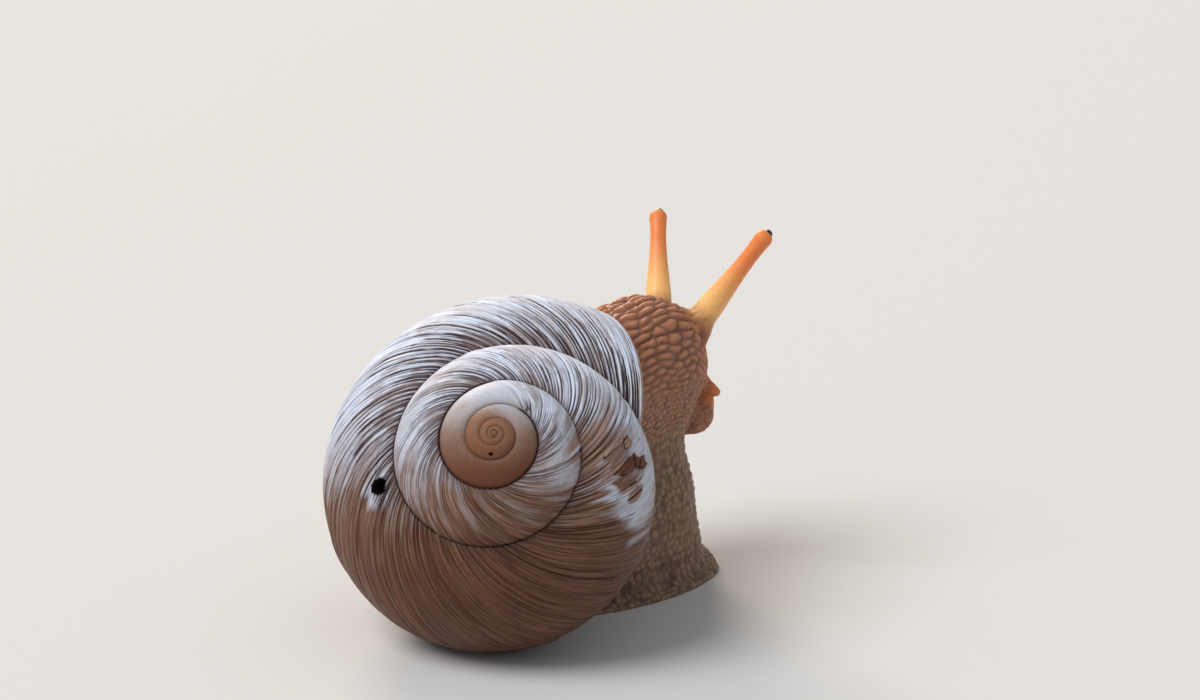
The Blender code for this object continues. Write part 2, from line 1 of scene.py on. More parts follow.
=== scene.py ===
"""Looks of the edible snail: its weathered shell, one moist warted skin and two eyes.

Lengths are in millimetres and angles in radians until a mesh is made, which is in metres. X points the way
the snail faces, Y to its left, Z up, and the floor is Z = 0.

The shell is a tube wound round an axis. Its section is an ellipse that grows by the same factor each turn. A
point of it has two coordinates: its growth line, by the angle that the shell still had to grow when its lip
was there, and its row, which is 0 at the suture above, 1 at the shoulder where the next whorl sits, and 2
where the base ends at the pillar. The skin is a set of lofts run together into one surface, with folds and
warts on it.
"""

import itertools
import logging
import math
from dataclasses import dataclass
from enum import Enum
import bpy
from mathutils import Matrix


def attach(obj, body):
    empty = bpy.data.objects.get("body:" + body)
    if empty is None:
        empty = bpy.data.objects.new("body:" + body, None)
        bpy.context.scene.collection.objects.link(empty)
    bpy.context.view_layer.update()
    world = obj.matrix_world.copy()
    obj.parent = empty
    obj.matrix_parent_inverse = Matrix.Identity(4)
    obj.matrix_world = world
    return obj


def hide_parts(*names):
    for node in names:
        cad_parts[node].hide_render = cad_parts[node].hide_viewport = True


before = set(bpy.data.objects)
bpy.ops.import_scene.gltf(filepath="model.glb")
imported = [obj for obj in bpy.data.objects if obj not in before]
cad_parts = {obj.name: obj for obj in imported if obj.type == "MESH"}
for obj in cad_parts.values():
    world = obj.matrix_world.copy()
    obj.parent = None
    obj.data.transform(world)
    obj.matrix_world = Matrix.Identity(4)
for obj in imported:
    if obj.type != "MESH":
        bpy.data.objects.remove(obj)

from types import SimpleNamespace

import bpy
import numpy as np
from mathutils import Matrix, Vector

logging.basicConfig(level=logging.INFO, format="%(message)s")
log = logging.getLogger("edible_snail")

MM = 0.001
TURN = 2.0 * math.pi
Array = np.ndarray
Colour = tuple[float, float, float]
Span = tuple[float, float]


# ----------------------------------------------------------------------------------- chance and shape helpers
def ease(low: float, high: float, value: Array) -> Array:
    """Rises smoothly from 0 at `low` to 1 at `high`; falls where `high` is below `low`."""
    share = np.clip((value - low) / (high - low), 0.0, 1.0)
    return share * share * (3.0 - 2.0 * share)


def bell(distance: Array, width: float | Array) -> Array:
    """A bell curve: 1 at no distance, and 1 / e at `width` to either side."""
    return np.exp(-((distance / width) ** 2))


def fade(distance: Array, length: float | Array) -> Array:
    """Falls from 1, at no distance or less, to 1 / e for each `length`."""
    return np.exp(-np.maximum(distance, 0.0) / length)


def soft_noise(seed: int, across: Array, along: Array | float = 0.0) -> Array:
    """Random values on a square lattice, read smoothly between its points.

    Args:
        seed: Chooses the values.
        across: First coordinate, in lattice steps.
        along: Second coordinate, in lattice steps.

    Returns:
        Values from -1 to 1.
    """
    size = 256
    table = np.random.default_rng(seed).uniform(-1.0, 1.0, (size, size))
    across, along = np.broadcast_arrays(across, along)
    left, low = np.floor(across).astype(int), np.floor(along).astype(int)
    right_share, up_share = ease(0.0, 1.0, across - left), ease(0.0, 1.0, along - low)
    near, far = (table[column % size, low % size] * (1 - up_share)
                 + table[column % size, (low + 1) % size] * up_share for column in (left, left + 1))
    return near * (1 - right_share) + far * right_share


def nearest_line(seed: int, place: Array, spacing: float) -> tuple[Array, Array]:
    """Distance to the nearest of many parallel lines, one at a random place in each `spacing`.

    Args:
        seed: Chooses the places.
        place: Coordinate across the lines.
        spacing: Mean distance between lines.

    Returns:
        The distance, and the nearest line's number.
    """
    count, most = 4096, 0.38
    shift = np.random.default_rng(seed).uniform(-most, most, count)
    base = np.floor(place / spacing)
    lines = np.stack([base - 1.0, base, base + 1.0])
    distance = np.abs(place - (lines + 0.5 + shift[lines.astype(int) % count]) * spacing)
    choice = distance.argmin(0)[None]
    return np.take_along_axis(distance, choice, 0)[0], np.take_along_axis(lines, choice, 0)[0]


def cells(seed: int, points: Array, sizes: tuple[float, ...], jitter: float, stagger: float = 0.0,
          ) -> tuple[Array, Array, Array]:
    """Cells round random points, one point in each box of a lattice; a cell's border is midway to the next.

    Args:
        seed: Chooses the points.
        points: Where to measure, in millimetres, one row each, in two or three dimensions.
        sizes: The lattice's box in millimetres.
        jitter: How far a point may lie from its box's middle, 1 for anywhere in it.
        stagger: How far each row of boxes is shifted from the one before, in boxes.

    Returns:
        Distance to the nearest point in boxes, distance to the cell's border in millimetres, and a random
        number that the nearest point carries.
    """
    dimensions = len(sizes)
    table = np.random.default_rng(seed).uniform(0.0, 1.0, (32,) * dimensions + (dimensions + 1,))
    scaled = points / np.array(sizes)
    upright = scaled.copy()
    upright[:, 0] -= stagger * upright[:, 1]
    box = np.floor(upright)
    nearest = np.full(len(points), np.inf)
    second = nearest.copy()
    place, other, carried = np.zeros_like(scaled), np.zeros_like(scaled), np.zeros(len(points))
    for step in itertools.product((-1.0, 0.0, 1.0), repeat=dimensions):
        neighbour = box + step
        entry = table[tuple((neighbour.astype(int) % 32).T)]
        centre = neighbour + 0.5 + (entry[:, :-1] - 0.5) * jitter
        centre[:, 0] += stagger * centre[:, 1]
        distance = np.linalg.norm(scaled - centre, axis=1)
        is_nearest, is_second = distance < nearest, distance < second
        other = np.where(is_nearest[:, None], place, np.where(is_second[:, None], centre, other))
        second = np.where(is_nearest, nearest, np.where(is_second, distance, second))
        place = np.where(is_nearest[:, None], centre, place)
        carried = np.where(is_nearest, entry[:, -1], carried)
        nearest = np.where(is_nearest, distance, nearest)
    normal = other - place
    slope = np.linalg.norm(normal / np.array(sizes), axis=1)
    return nearest, (second**2 - nearest**2) / (2.0 * np.maximum(slope, 1e-9)), carried


def smooth_path(stations: tuple, steps: int) -> Array:
    """Rows of a table joined by a smooth curve through them (Catmull-Rom).

    Args:
        stations: The table's rows.
        steps: How many rows of the curve go to each pair of the table's.

    Returns:
        The curve's rows.
    """
    table = np.array(stations, float)
    padded = np.vstack([2 * table[0] - table[1], table, 2 * table[-1] - table[-2]])
    share = np.linspace(0.0, 1.0, steps, endpoint=False)[None, :, None]
    a, b, c, d = (padded[i : len(padded) - 3 + i, None, :] for i in range(4))
    curve = b + 0.5 * share * (c - a + share * (2 * a - 5 * b + 4 * c - d + share * (3 * (b - c) + d - a)))
    return np.vstack([curve.reshape(-1, table.shape[1]), table[-1:]])


def grid_faces(rows: int, columns: int, closed: bool = False) -> Array:
    """Quads of a grid whose points are numbered row by row.

    Args:
        rows: How many points one way.
        columns: How many the other way.
        closed: Joins the last column to the first.

    Returns:
        Four point numbers for each quad.
    """
    index = np.arange(rows * columns).reshape(rows, columns)
    if closed:
        index = np.hstack([index, index[:, :1]])
    corners = (index[:-1, :-1], index[:-1, 1:], index[1:, 1:], index[1:, :-1])
    return np.stack(corners, -1).reshape(-1, 4)


def grid_normals(grid: Array) -> Array:
    """Unit normals of a grid of points, from its slopes both ways."""
    normal = np.cross(np.gradient(grid, axis=0), np.gradient(grid, axis=1))
    return normal / np.maximum(np.linalg.norm(normal, axis=-1, keepdims=True), 1e-9)


def new_mesh(name: str, points: Array, quads: Array) -> bpy.types.Object:
    """A smooth-shaded mesh object at the origin.

    Args:
        name: The object's name.
        points: Its points, in millimetres.
        quads: Four point numbers for each face.

    Returns:
        The object, linked to the scene.
    """
    mesh = bpy.data.meshes.new(name)
    mesh.vertices.add(len(points))
    mesh.vertices.foreach_set("co", (np.asarray(points, float) * MM).ravel())
    mesh.loops.add(quads.size)
    mesh.loops.foreach_set("vertex_index", quads.ravel().astype(np.int32))
    mesh.polygons.add(len(quads))
    mesh.polygons.foreach_set("loop_start", np.arange(0, quads.size, 4, dtype=np.int32))
    mesh.update(calc_edges=True)
    mesh.validate()
    mesh.shade_smooth()
    thing = bpy.data.objects.new(name, mesh)
    bpy.context.scene.collection.objects.link(thing)
    return thing


def set_attribute(thing: bpy.types.Object, name: str, values: Array) -> None:
    """Stores one number, or one vector, for each of a mesh's points.

    Args:
        thing: The mesh object.
        name: The attribute's name.
        values: A row for each point.
    """
    kind = "FLOAT" if values.ndim == 1 else "FLOAT_VECTOR"
    attribute = thing.data.attributes.new(name, kind, "POINT")
    attribute.data.foreach_set("value" if values.ndim == 1 else "vector", values.astype(np.float32).ravel())


def report(thing: bpy.types.Object) -> None:
    """Logs a finished piece's size.

    Args:
        thing: The piece.
    """
    size = ", ".join(f"{length / MM:.1f}" for length in thing.dimensions)
    thing.data.calc_loop_triangles()
    log.info("%s: %d triangles, %s mm", thing.name, len(thing.data.loop_triangles), size)


# -------------------------------------------------------------------------------------------- shader helpers
class Nodes:
    """Adds nodes to one node tree and joins them."""

    def __init__(self, tree: bpy.types.NodeTree) -> None:
        """Keeps the tree that nodes go in."""
        self.tree = tree

    def add(self, kind: str, settings: dict | None = None, **inputs: object) -> bpy.types.Node:
        """Adds a node.

        Args:
            kind: The node's type name, without its leading "ShaderNode".
            settings: The node's own properties.
            **inputs: Values or sockets for its inputs, by name with _ for a space.

        Returns:
            The node.
        """
        node = self.tree.nodes.new(kind if kind.startswith("Node") else f"ShaderNode{kind}")
        for name, value in (settings or {}).items():
            setattr(node, name, value)
        for name, value in inputs.items():
            self.feed(node.inputs[name.replace("_", " ")], value)
        return node

    def feed(self, socket: bpy.types.NodeSocket, value: object) -> None:
        """Links a socket to an input, or sets the input's value.

        Args:
            socket: The input.
            value: A socket, a colour of three numbers, or a value of the input's own kind.
        """
        if isinstance(value, bpy.types.NodeSocket):
            self.tree.links.new(value, socket)
        elif isinstance(value, tuple) and len(value) == 3 and socket.type == "RGBA":
            socket.default_value = (*value, 1.0)
        else:
            socket.default_value = value

    def sum(self, operation: str, first: object, second: object = 0.0) -> bpy.types.NodeSocket:
        """One Math node on two values.

        Args:
            operation: The node's operation.
            first: A value or a socket.
            second: A value or a socket.

        Returns:
            The result.
        """
        node = self.tree.nodes.new("ShaderNodeMath")
        node.operation = operation
        self.feed(node.inputs[0], first)
        self.feed(node.inputs[1], second)
        return node.outputs[0]

    def times(self, first: object, second: object) -> bpy.types.NodeSocket:
        """One value times another."""
        return self.sum("MULTIPLY", first, second)

    def plus(self, first: object, second: object) -> bpy.types.NodeSocket:
        """One value plus another."""
        return self.sum("ADD", first, second)

    def span(self, value: object, low: float, high: float, to_low: float = 0.0, to_high: float = 1.0,
             ) -> bpy.types.NodeSocket:
        """Maps a value smoothly from one range to another, and holds it at the ends.

        Args:
            value: The value's socket.
            low: Start of the first range.
            high: Its end, which may be below its start.
            to_low: Start of the second range.
            to_high: Its end.

        Returns:
            The mapped value.
        """
        node = self.add("MapRange", {"interpolation_type": "SMOOTHSTEP"})
        for index, number in enumerate((value, low, high, to_low, to_high)):
            self.feed(node.inputs[index], number)
        return node.outputs[0]

    def mix(self, share: object, first: object, second: object) -> bpy.types.NodeSocket:
        """Mixes two colours.

        Args:
            share: 0 for the first, 1 for the second.
            first: A colour or a socket.
            second: A colour or a socket.

        Returns:
            The mixed colour.
        """
        node = self.tree.nodes.new("ShaderNodeMix")
        node.data_type = "RGBA"
        for index, value in ((0, share), (6, first), (7, second)):
            self.feed(node.inputs[index], value)
        return node.outputs[2]

    def attribute(self, name: str, output: str = "Fac") -> bpy.types.NodeSocket:
        """Reads what set_attribute stored."""
        return self.add("Attribute", {"attribute_name": name}).outputs[output]

    def place(self) -> bpy.types.NodeSocket:
        """The point's place on the object, in metres."""
        return self.add("TexCoord").outputs["Object"]

    def along(self, place: bpy.types.NodeSocket, direction: tuple[float, float, float],
              ) -> bpy.types.NodeSocket:
        """How far a place lies in a direction.

        Args:
            place: The place's socket.
            direction: A vector of length 1.

        Returns:
            The distance.
        """
        node = self.add("VectorMath", {"operation": "DOT_PRODUCT"})
        self.feed(node.inputs[0], place)
        node.inputs[1].default_value = direction
        return node.outputs["Value"]

    def group(self, tree: bpy.types.NodeTree, **inputs: object) -> bpy.types.Node:
        """Adds a node group.

        Args:
            tree: The group.
            **inputs: Values or sockets for its inputs, by name with _ for a space.

        Returns:
            The group's node.
        """
        node = self.tree.nodes.new("ShaderNodeGroup")
        node.node_tree = tree
        for name, value in inputs.items():
            self.feed(node.inputs[name.replace("_", " ")], value)
        return node


def new_group(name: str, inputs: dict[str, str], outputs: dict[str, str],
              ) -> tuple[Nodes, dict, bpy.types.Node]:
    """Starts a shader node group.

    Args:
        name: The group's name.
        inputs: Input names and their kinds: Float, Vector or Color.
        outputs: Output names and their kinds.

    Returns:
        The maker of its nodes, its inputs by name, and its output node.
    """
    tree = bpy.data.node_groups.new(name, "ShaderNodeTree")
    for names, direction in ((inputs, "INPUT"), (outputs, "OUTPUT")):
        for socket_name, kind in names.items():
            tree.interface.new_socket(socket_name, in_out=direction, socket_type=f"NodeSocket{kind}")
    nodes = Nodes(tree)
    entry = nodes.add("NodeGroupInput")
    return nodes, {name: entry.outputs[name] for name in inputs}, nodes.add("NodeGroupOutput")


def streak_group() -> bpy.types.NodeTree:
    """Streaks that follow the growth lines: noise drawn out along them, cut between two levels.

    Returns:
        The group.
    """
    numbers = {name: "Float" for name in ("Pitch", "Stretch", "Seed", "Low", "High")}
    nodes, given, out = new_group("growth_streaks", {"Growth": "Vector", **numbers}, {"Mask": "Float"})
    parts = nodes.add("SeparateXYZ", Vector=given["Growth"])
    across = nodes.sum("DIVIDE", parts.outputs[0], given["Pitch"])
    along = nodes.sum("DIVIDE", parts.outputs[1], nodes.times(given["Pitch"], given["Stretch"]))
    where = nodes.add("CombineXYZ", X=across, Y=along, Z=nodes.plus(parts.outputs[2], given["Seed"]))
    noise = nodes.add("TexNoise", Vector=where.outputs[0], Scale=1.0, Detail=3.0, Roughness=0.6)
    level = nodes.add("MapRange", {"interpolation_type": "SMOOTHSTEP"})
    for index, value in enumerate((noise.outputs[0], given["Low"], given["High"])):
        nodes.feed(level.inputs[index], value)
    nodes.feed(out.inputs["Mask"], level.outputs[0])
    return nodes.tree


def grain_group() -> bpy.types.NodeTree:
    """Fine grain: soft noise and small round cells of one size, as a height and a mask.

    Returns:
        The group.
    """
    nodes, given, out = new_group("fine_grain", {"Place": "Vector", "Size": "Float", "Cells": "Float"},
                                  {"Height": "Float", "Mask": "Float"})
    scale = nodes.sum("DIVIDE", 1.0, given["Size"])
    noise = nodes.add("TexNoise", Vector=given["Place"], Scale=scale, Detail=4.0, Roughness=0.62)
    round_cells = nodes.add("TexVoronoi", {"feature": "F1"}, Vector=given["Place"], Scale=scale)
    dome = nodes.sum("SUBTRACT", 1.0, round_cells.outputs["Distance"])
    mixed = nodes.add("Mix")
    for index, value in ((0, given["Cells"]), (2, noise.outputs[0]), (3, dome)):
        nodes.feed(mixed.inputs[index], value)
    nodes.feed(out.inputs["Height"], mixed.outputs[0])
    nodes.feed(out.inputs["Mask"], nodes.span(noise.outputs[0], 0.35, 0.65))
    return nodes.tree


class Effects:
    """The node groups that several materials share, built once."""

    def __init__(self) -> None:
        """Builds the groups."""
        self.streaks = streak_group()
        self.grain = grain_group()


# --------------------------------------------------------------------------------------------------- finishes
def new_material(name: str) -> tuple[bpy.types.Material, Nodes, bpy.types.Node]:
    """A material with an empty Principled shader.

    Args:
        name: The material's name.

    Returns:
        The material, the maker of its nodes, and the shader.
    """
    material = bpy.data.materials.new(name)
    material.use_nodes = True
    return material, Nodes(material.node_tree), material.node_tree.nodes["Principled BSDF"]


class Streaks(Enum):
    """Layers of streaks: breadth in millimetres, length in breadths, seed, and two levels to cut noise at."""

    BROAD = (6.0, 2.0, 1.0, 0.40, 0.62)
    BANDS = (0.95, 10.0, 4.0, 0.42, 0.60)
    FINE = (0.36, 18.0, 7.0, 0.36, 0.64)
    HAIR = (0.21, 30.0, 23.0, 0.42, 0.62)
    TORN = (0.30, 15.0, 11.0, 0.25, 0.75)
    SKIN_LEFT = (2.6, 1.6, 19.0, 0.50, 0.60)
    REDDISH = (1.6, 7.0, 31.0, 0.50, 0.62)
    STRIAE = (0.22, 25.0, 15.0, 0.30, 0.70)


@dataclass(frozen=True)
class ShellFinish:
    """Horn and lime: brown skin on pale ribs, worn to chalk on the upper side, smooth on the oldest whorls.

    A rise or a fall is a stretch of height along `sunward`, in metres, where one look gives way to another.
    An age is the same in turns before the lip.
    """

    # Chalk white, tinted blue; the blue tint is painted sky light.
    chalk: Colour = (0.72, 0.79, 0.93)
    ash: Colour = (0.26, 0.225, 0.225)
    tan: Colour = (0.29, 0.150, 0.088)
    brown: Colour = (0.070, 0.022, 0.012)
    bark: Colour = (0.030, 0.011, 0.007)
    honey: Colour = (0.29, 0.135, 0.068)
    fawn: Colour = (0.31, 0.210, 0.145)
    russet: Colour = (0.150, 0.050, 0.021)
    copper: Colour = (0.33, 0.140, 0.080)
    umber: Colour = (0.108, 0.041, 0.023)
    # Painted shade inside the bored hole.
    painted_hole_shade: Colour = (0.010, 0.006, 0.005)
    mauve: Colour = (0.18, 0.105, 0.095)
    lip: Colour = (0.48, 0.35, 0.26)
    # Heights along `sunward` also set painted shade low on the shell and a painted highlight on the oldest
    # whorls' tops.
    sunward: tuple[float, float, float] = (0.195, 0.182, 0.964)     # the side that has bleached most
    # These rises make the horn darkest low down: partly its own colour, partly painted shade.
    umber_rise: Span = (0.003, 0.014)
    band_rise: Span = (0.000, 0.016)
    copper_rise: Span = (0.006, 0.016)
    hair_rise: Span = (0.000, 0.018)
    lime_rise: Span = (0.0165, 0.0270)
    # On the oldest whorls the chalk on top is partly a painted highlight, and the russet low down partly
    # painted shade.
    sunlit_rise: Span = (0.0205, 0.0260)
    russet_fall: Span = (0.0210, 0.0135)
    fawn_age: Span = (3.25, 2.95)
    sunlit_age: Span = (3.30, 2.95)

    def cover(self, nodes: Nodes, effects: Effects) -> SimpleNamespace:
        """What differs from place to place: attributes, streaks, height, lime and bark.

        Args:
            nodes: The maker of the material's nodes.
            effects: The shared node groups.

        Returns:
            A socket for each, by name.
        """
        times, plus = nodes.times, nodes.plus
        names = ("groove", "ribbed", "age", "stain", "chalk", "shoulder", "suture", "lip_edge", "dark")
        cover = SimpleNamespace(**{name: nodes.attribute(name) for name in names})
        growth = nodes.attribute("growth", "Vector")
        for layer in Streaks:
            values = dict(zip(("Pitch", "Stretch", "Seed", "Low", "High"), layer.value))
            streaks = nodes.group(effects.streaks, Growth=growth, **values)
            setattr(cover, layer.name.lower(), streaks.outputs[0])
        patches = nodes.group(effects.grain, Place=nodes.place(), Size=0.008, Cells=0.0)
        cover.patchy, cover.mottled = patches.outputs
        cover.height = nodes.along(nodes.place(), self.sunward)
        cover.down = nodes.add("SeparateXYZ", Vector=growth).outputs[1]
        cover.ragged = nodes.sum("SUBTRACT", cover.torn, 0.5)

        lifted = plus(plus(cover.height, times(cover.patchy, 0.011)), times(cover.bands, 0.004))
        upper = times(nodes.span(lifted, *self.lime_rise), nodes.sum("SUBTRACT", 1.0, cover.stain))
        upper = nodes.sum("MAXIMUM", upper, cover.chalk)
        kept = times(times(cover.skin_left, cover.shoulder), 0.75)
        cover.bleached = times(upper, nodes.sum("SUBTRACT", 1.0, kept))
        edge = plus(cover.groove, times(cover.ragged, 0.70))
        cover.barked = times(nodes.span(edge, 0.32, 0.56), nodes.span(cover.bleached, 0.0, 1.0, 0.50, 0.95))
        return cover

    def horn(self, nodes: Nodes, cover: SimpleNamespace) -> bpy.types.NodeSocket:
        """Colour of the brown skin: darkest low down, with tan, russet, copper and pale streaks.

        Args:
            nodes: The maker of the material's nodes.
            cover: What differs from place to place.

        Returns:
            The colour.
        """
        times, mix, height = nodes.times, nodes.mix, cover.height
        # Darkest low down: partly the skin's own colour, partly painted shade.
        dark = mix(nodes.span(height, *self.umber_rise), self.brown, self.umber)
        colour = mix(times(cover.bands, nodes.span(height, *self.band_rise, 0.12, 0.48)), dark, self.tan)
        colour = mix(times(cover.broad, 0.55), colour, self.brown)
        colour = mix(times(cover.fine, 0.28), colour, self.tan)
        colour = mix(times(cover.reddish, 0.55), colour, self.russet)
        reddened = times(cover.stain, nodes.span(height, *self.copper_rise))
        colour = mix(times(reddened, nodes.span(cover.bands, 0.0, 1.0, 0.40, 0.85)), colour, self.copper)
        return mix(times(cover.hair, nodes.span(height, *self.hair_rise, 0.10, 0.50)), colour, self.lip)

    def lime(self, nodes: Nodes, cover: SimpleNamespace) -> bpy.types.NodeSocket:
        """Colour of the bare lime: chalk with ashen bands and a few tan ones.

        Args:
            nodes: The maker of the material's nodes.
            cover: What differs from place to place.

        Returns:
            The colour.
        """
        colour = nodes.mix(nodes.times(cover.bands, 0.45), self.chalk, self.ash)
        colour = nodes.mix(nodes.times(cover.fine, 0.45), colour, self.chalk)
        return nodes.mix(nodes.times(nodes.times(cover.broad, cover.fine), 0.40), colour, self.tan)

    def worn_smooth(self, nodes: Nodes, cover: SimpleNamespace) -> bpy.types.NodeSocket:
        """Colour of the oldest whorls: honey to fawn, russet low down and chalky on top.

        Args:
            nodes: The maker of the material's nodes.
            cover: What differs from place to place.

        Returns:
            The colour.
        """
        times, mix = nodes.times, nodes.mix
        colour = mix(nodes.span(cover.age, *self.fawn_age), self.honey, self.fawn)
        # Russet low down is partly painted shade; chalk where `sunlit` is high is partly a painted highlight.
        colour = mix(nodes.span(cover.height, *self.russet_fall), colour, self.russet)
        sunlit = nodes.span(nodes.plus(cover.height, times(cover.patchy, 0.006)), *self.sunlit_rise)
        sunlit = times(times(sunlit, 0.75), nodes.span(cover.age, *self.sunlit_age))
        return mix(times(cover.mottled, 0.22), mix(sunlit, colour, self.chalk), self.mauve)

    def flaked(self, nodes: Nodes, cover: SimpleNamespace,
               colour: bpy.types.NodeSocket) -> bpy.types.NodeSocket:
        """Lays the flakes and the dark cracks between them, with painted shadow beside raised flakes, over a
        colour.

        Args:
            nodes: The maker of the material's nodes.
            cover: What differs from place to place.
            colour: The colour under them.

        Returns:
            The colour with them.
        """
        times, span, mix = nodes.times, nodes.span, nodes.mix
        border, chip, rim = nodes.add("SeparateXYZ", Vector=nodes.attribute("plates", "Vector")).outputs
        scale = times(times(span(border, 0.05, 0.11), span(chip, 0.42, 0.48)), span(rim, 1.05, 0.97))
        pale, dark = mix(cover.fine, self.tan, self.fawn), mix(cover.fine, self.umber, self.russet)
        colour = mix(scale, colour, mix(span(chip, 0.5, 0.9), pale, dark))
        # Dark cracks between the plates, darkest beside the raised flakes, where they are painted shadow.
        crack = times(span(border, 0.19, 0.08), span(rim, 1.12, 1.04))
        crack = times(crack, span(chip, 0.40, 0.48, 0.35, 0.95))
        return mix(crack, colour, self.bark)

    def bored_hole(self, nodes: Nodes, effects: Effects, pit: Array,
                   pit_radius: float) -> bpy.types.NodeSocket:
        """Mask of the bored hole, painted in shade: a ball round its middle, with a ragged rim.

        Args:
            nodes: The maker of the material's nodes.
            effects: The shared node groups.
            pit: Middle of the hole, in metres.
            pit_radius: Its radius, in metres.

        Returns:
            The mask.
        """
        away = nodes.add("VectorMath", {"operation": "DISTANCE"})
        nodes.feed(away.inputs[0], nodes.place())
        away.inputs[1].default_value = tuple(pit)
        ragged = nodes.group(effects.grain, Place=nodes.place(), Size=0.0007, Cells=0.0)
        from_pit = nodes.plus(away.outputs["Value"], nodes.times(ragged.outputs[0], 1.2 * pit_radius))
        return nodes.span(from_pit, 2.14 * pit_radius, 2.04 * pit_radius)

    def material(self, effects: Effects, pit: Array, pit_radius: float) -> bpy.types.Material:
        """Builds the material.

        Args:
            effects: The shared node groups.
            pit: Middle of the bored hole, in metres.
            pit_radius: Its radius, in metres.

        Returns:
            The material, which reads the shell's attributes.
        """
        material, nodes, shader = new_material("shell_horn")
        times, span, mix = nodes.times, nodes.span, nodes.mix
        cover = self.cover(nodes, effects)
        colour = mix(cover.bleached, self.horn(nodes, cover), self.lime(nodes, cover))
        colour = mix(span(cover.ribbed, 0.0, 0.62), self.worn_smooth(nodes, cover), colour)
        line = times(span(cover.groove, 0.10, 0.75), span(cover.bleached, 0.0, 1.0, 0.35, 0.75))
        colour = mix(times(line, cover.ribbed), colour, self.umber)
        bark = mix(span(cover.shoulder, 0.2, 0.6), self.umber, self.bark)
        colour = mix(times(cover.barked, cover.ribbed), colour, mix(times(cover.torn, 0.5), bark, self.brown))
        # Painted shade: mauve along both sutures, so that the whorls look rounded.
        colour = mix(times(cover.suture, 0.50), colour, self.mauve)
        seam = span(nodes.plus(cover.down, times(cover.ragged, 0.10)), 0.24, 0.10)
        colour = mix(times(seam, span(cover.ribbed, 0.0, 0.4, 0.25, 0.95)), colour, self.bark)
        colour = self.flaked(nodes, cover, mix(cover.lip_edge, colour, self.lip))
        # Dark suture lines, scar and cracks, and painted shade in the pits.
        colour = mix(cover.dark, colour, self.bark)
        hole = self.bored_hole(nodes, effects, pit, pit_radius)
        # Painted shade inside the bored hole.
        nodes.feed(shader.inputs["Base Color"], mix(hole, colour, self.painted_hole_shade))

        roughness = nodes.plus(span(cover.bleached, 0.0, 1.0, 0.40, 0.52), times(hole, 0.45))
        nodes.feed(shader.inputs["Roughness"], roughness)
        shader.inputs["Specular IOR Level"].default_value = 0.18
        grain = nodes.group(effects.grain, Place=nodes.place(), Size=0.0004, Cells=0.3)
        raised = nodes.plus(times(times(cover.striae, cover.ribbed), 0.8), times(grain.outputs[0], 0.22))
        raised = nodes.sum("SUBTRACT", raised, times(cover.barked, 0.7))
        bump = nodes.add("Bump", Strength=0.7, Distance=0.00007, Height=raised)
        nodes.feed(shader.inputs["Normal"], bump.outputs[0])
        return material


@dataclass(frozen=True)
class SkinFinish:
    """Moist flesh: pale warts, grooves between them dark partly by painted shade, amber feelers, a creamy
    mantle.
    """

    wart: Colour = (0.54, 0.225, 0.120)
    # Groove colours: partly the skin's own colour, partly painted shade between the warts.
    groove: Colour = (0.145, 0.050, 0.026)
    ash: Colour = (0.37, 0.225, 0.135)
    ash_groove: Colour = (0.075, 0.040, 0.025)
    rust: Colour = (0.72, 0.245, 0.090)
    amber: Colour = (0.86, 0.250, 0.060)
    peach: Colour = (0.96, 0.56, 0.20)
    buff: Colour = (0.45, 0.32, 0.20)
    cream: Colour = (0.62, 0.50, 0.35)
    # Painted shade in the mouth and in the cleft under the lip.
    painted_mouth_shade: Colour = (0.030, 0.016, 0.012)

    def material(self, effects: Effects) -> bpy.types.Material:
        """Builds the material.

        Args:
            effects: The shared node groups.

        Returns:
            The material, which reads the skin's attributes.
        """
        material, nodes, shader = new_material("moist_skin")
        wart = nodes.attribute("wart")
        blotches = nodes.group(effects.grain, Place=nodes.place(), Size=0.005, Cells=0.0)
        specks = nodes.group(effects.grain, Place=nodes.place(), Size=0.0009, Cells=0.0)
        # Darker where `wart` is low, in the grooves, folds and furrows: partly the skin's own colour, partly
        # painted shade.
        warm = nodes.mix(wart, self.groove, self.wart)
        cool = nodes.mix(wart, self.ash_groove, self.ash)
        colour = nodes.mix(nodes.attribute("ash"), warm, cool)
        colour = nodes.mix(nodes.times(nodes.attribute("rust"), 0.78), colour,
                           nodes.mix(wart, self.groove, self.rust))
        colour = nodes.mix(nodes.times(blotches.outputs[1], 0.22), colour, self.ash)
        colour = nodes.mix(nodes.times(specks.outputs[1], 0.16), colour, self.groove)
        colour = nodes.mix(nodes.attribute("cream"), colour, nodes.mix(wart, self.buff, self.cream))
        feeler = nodes.mix(nodes.times(specks.outputs[1], 0.25), self.amber, self.rust)
        feeler = nodes.mix(nodes.span(nodes.attribute("reach"), 0.75, 0.05), feeler, self.peach)
        colour = nodes.mix(nodes.attribute("amber"), colour, feeler)
        # Painted shade in the mouth and the cleft under the lip.
        colour = nodes.mix(nodes.attribute("painted_mouth_shade"), colour, self.painted_mouth_shade)
        nodes.feed(shader.inputs["Base Color"], colour)
        nodes.feed(shader.inputs["Roughness"], nodes.span(specks.outputs[0], 0.3, 0.7, 0.40, 0.58))
        shader.inputs["Subsurface Weight"].default_value = 0.35
        shader.inputs["Subsurface Radius"].default_value = (1.0, 0.45, 0.2)
        shader.inputs["Subsurface Scale"].default_value = 0.0014
        shader.inputs["Specular IOR Level"].default_value = 0.30
        shader.inputs["Coat Weight"].default_value = 0.14
        shader.inputs["Coat Roughness"].default_value = 0.24
        grain = nodes.group(effects.grain, Place=nodes.place(), Size=0.00032, Cells=0.6)
        bump = nodes.add("Bump", Strength=0.5, Distance=0.00007, Height=grain.outputs[0])
        nodes.feed(shader.inputs["Normal"], bump.outputs[0])
        return material


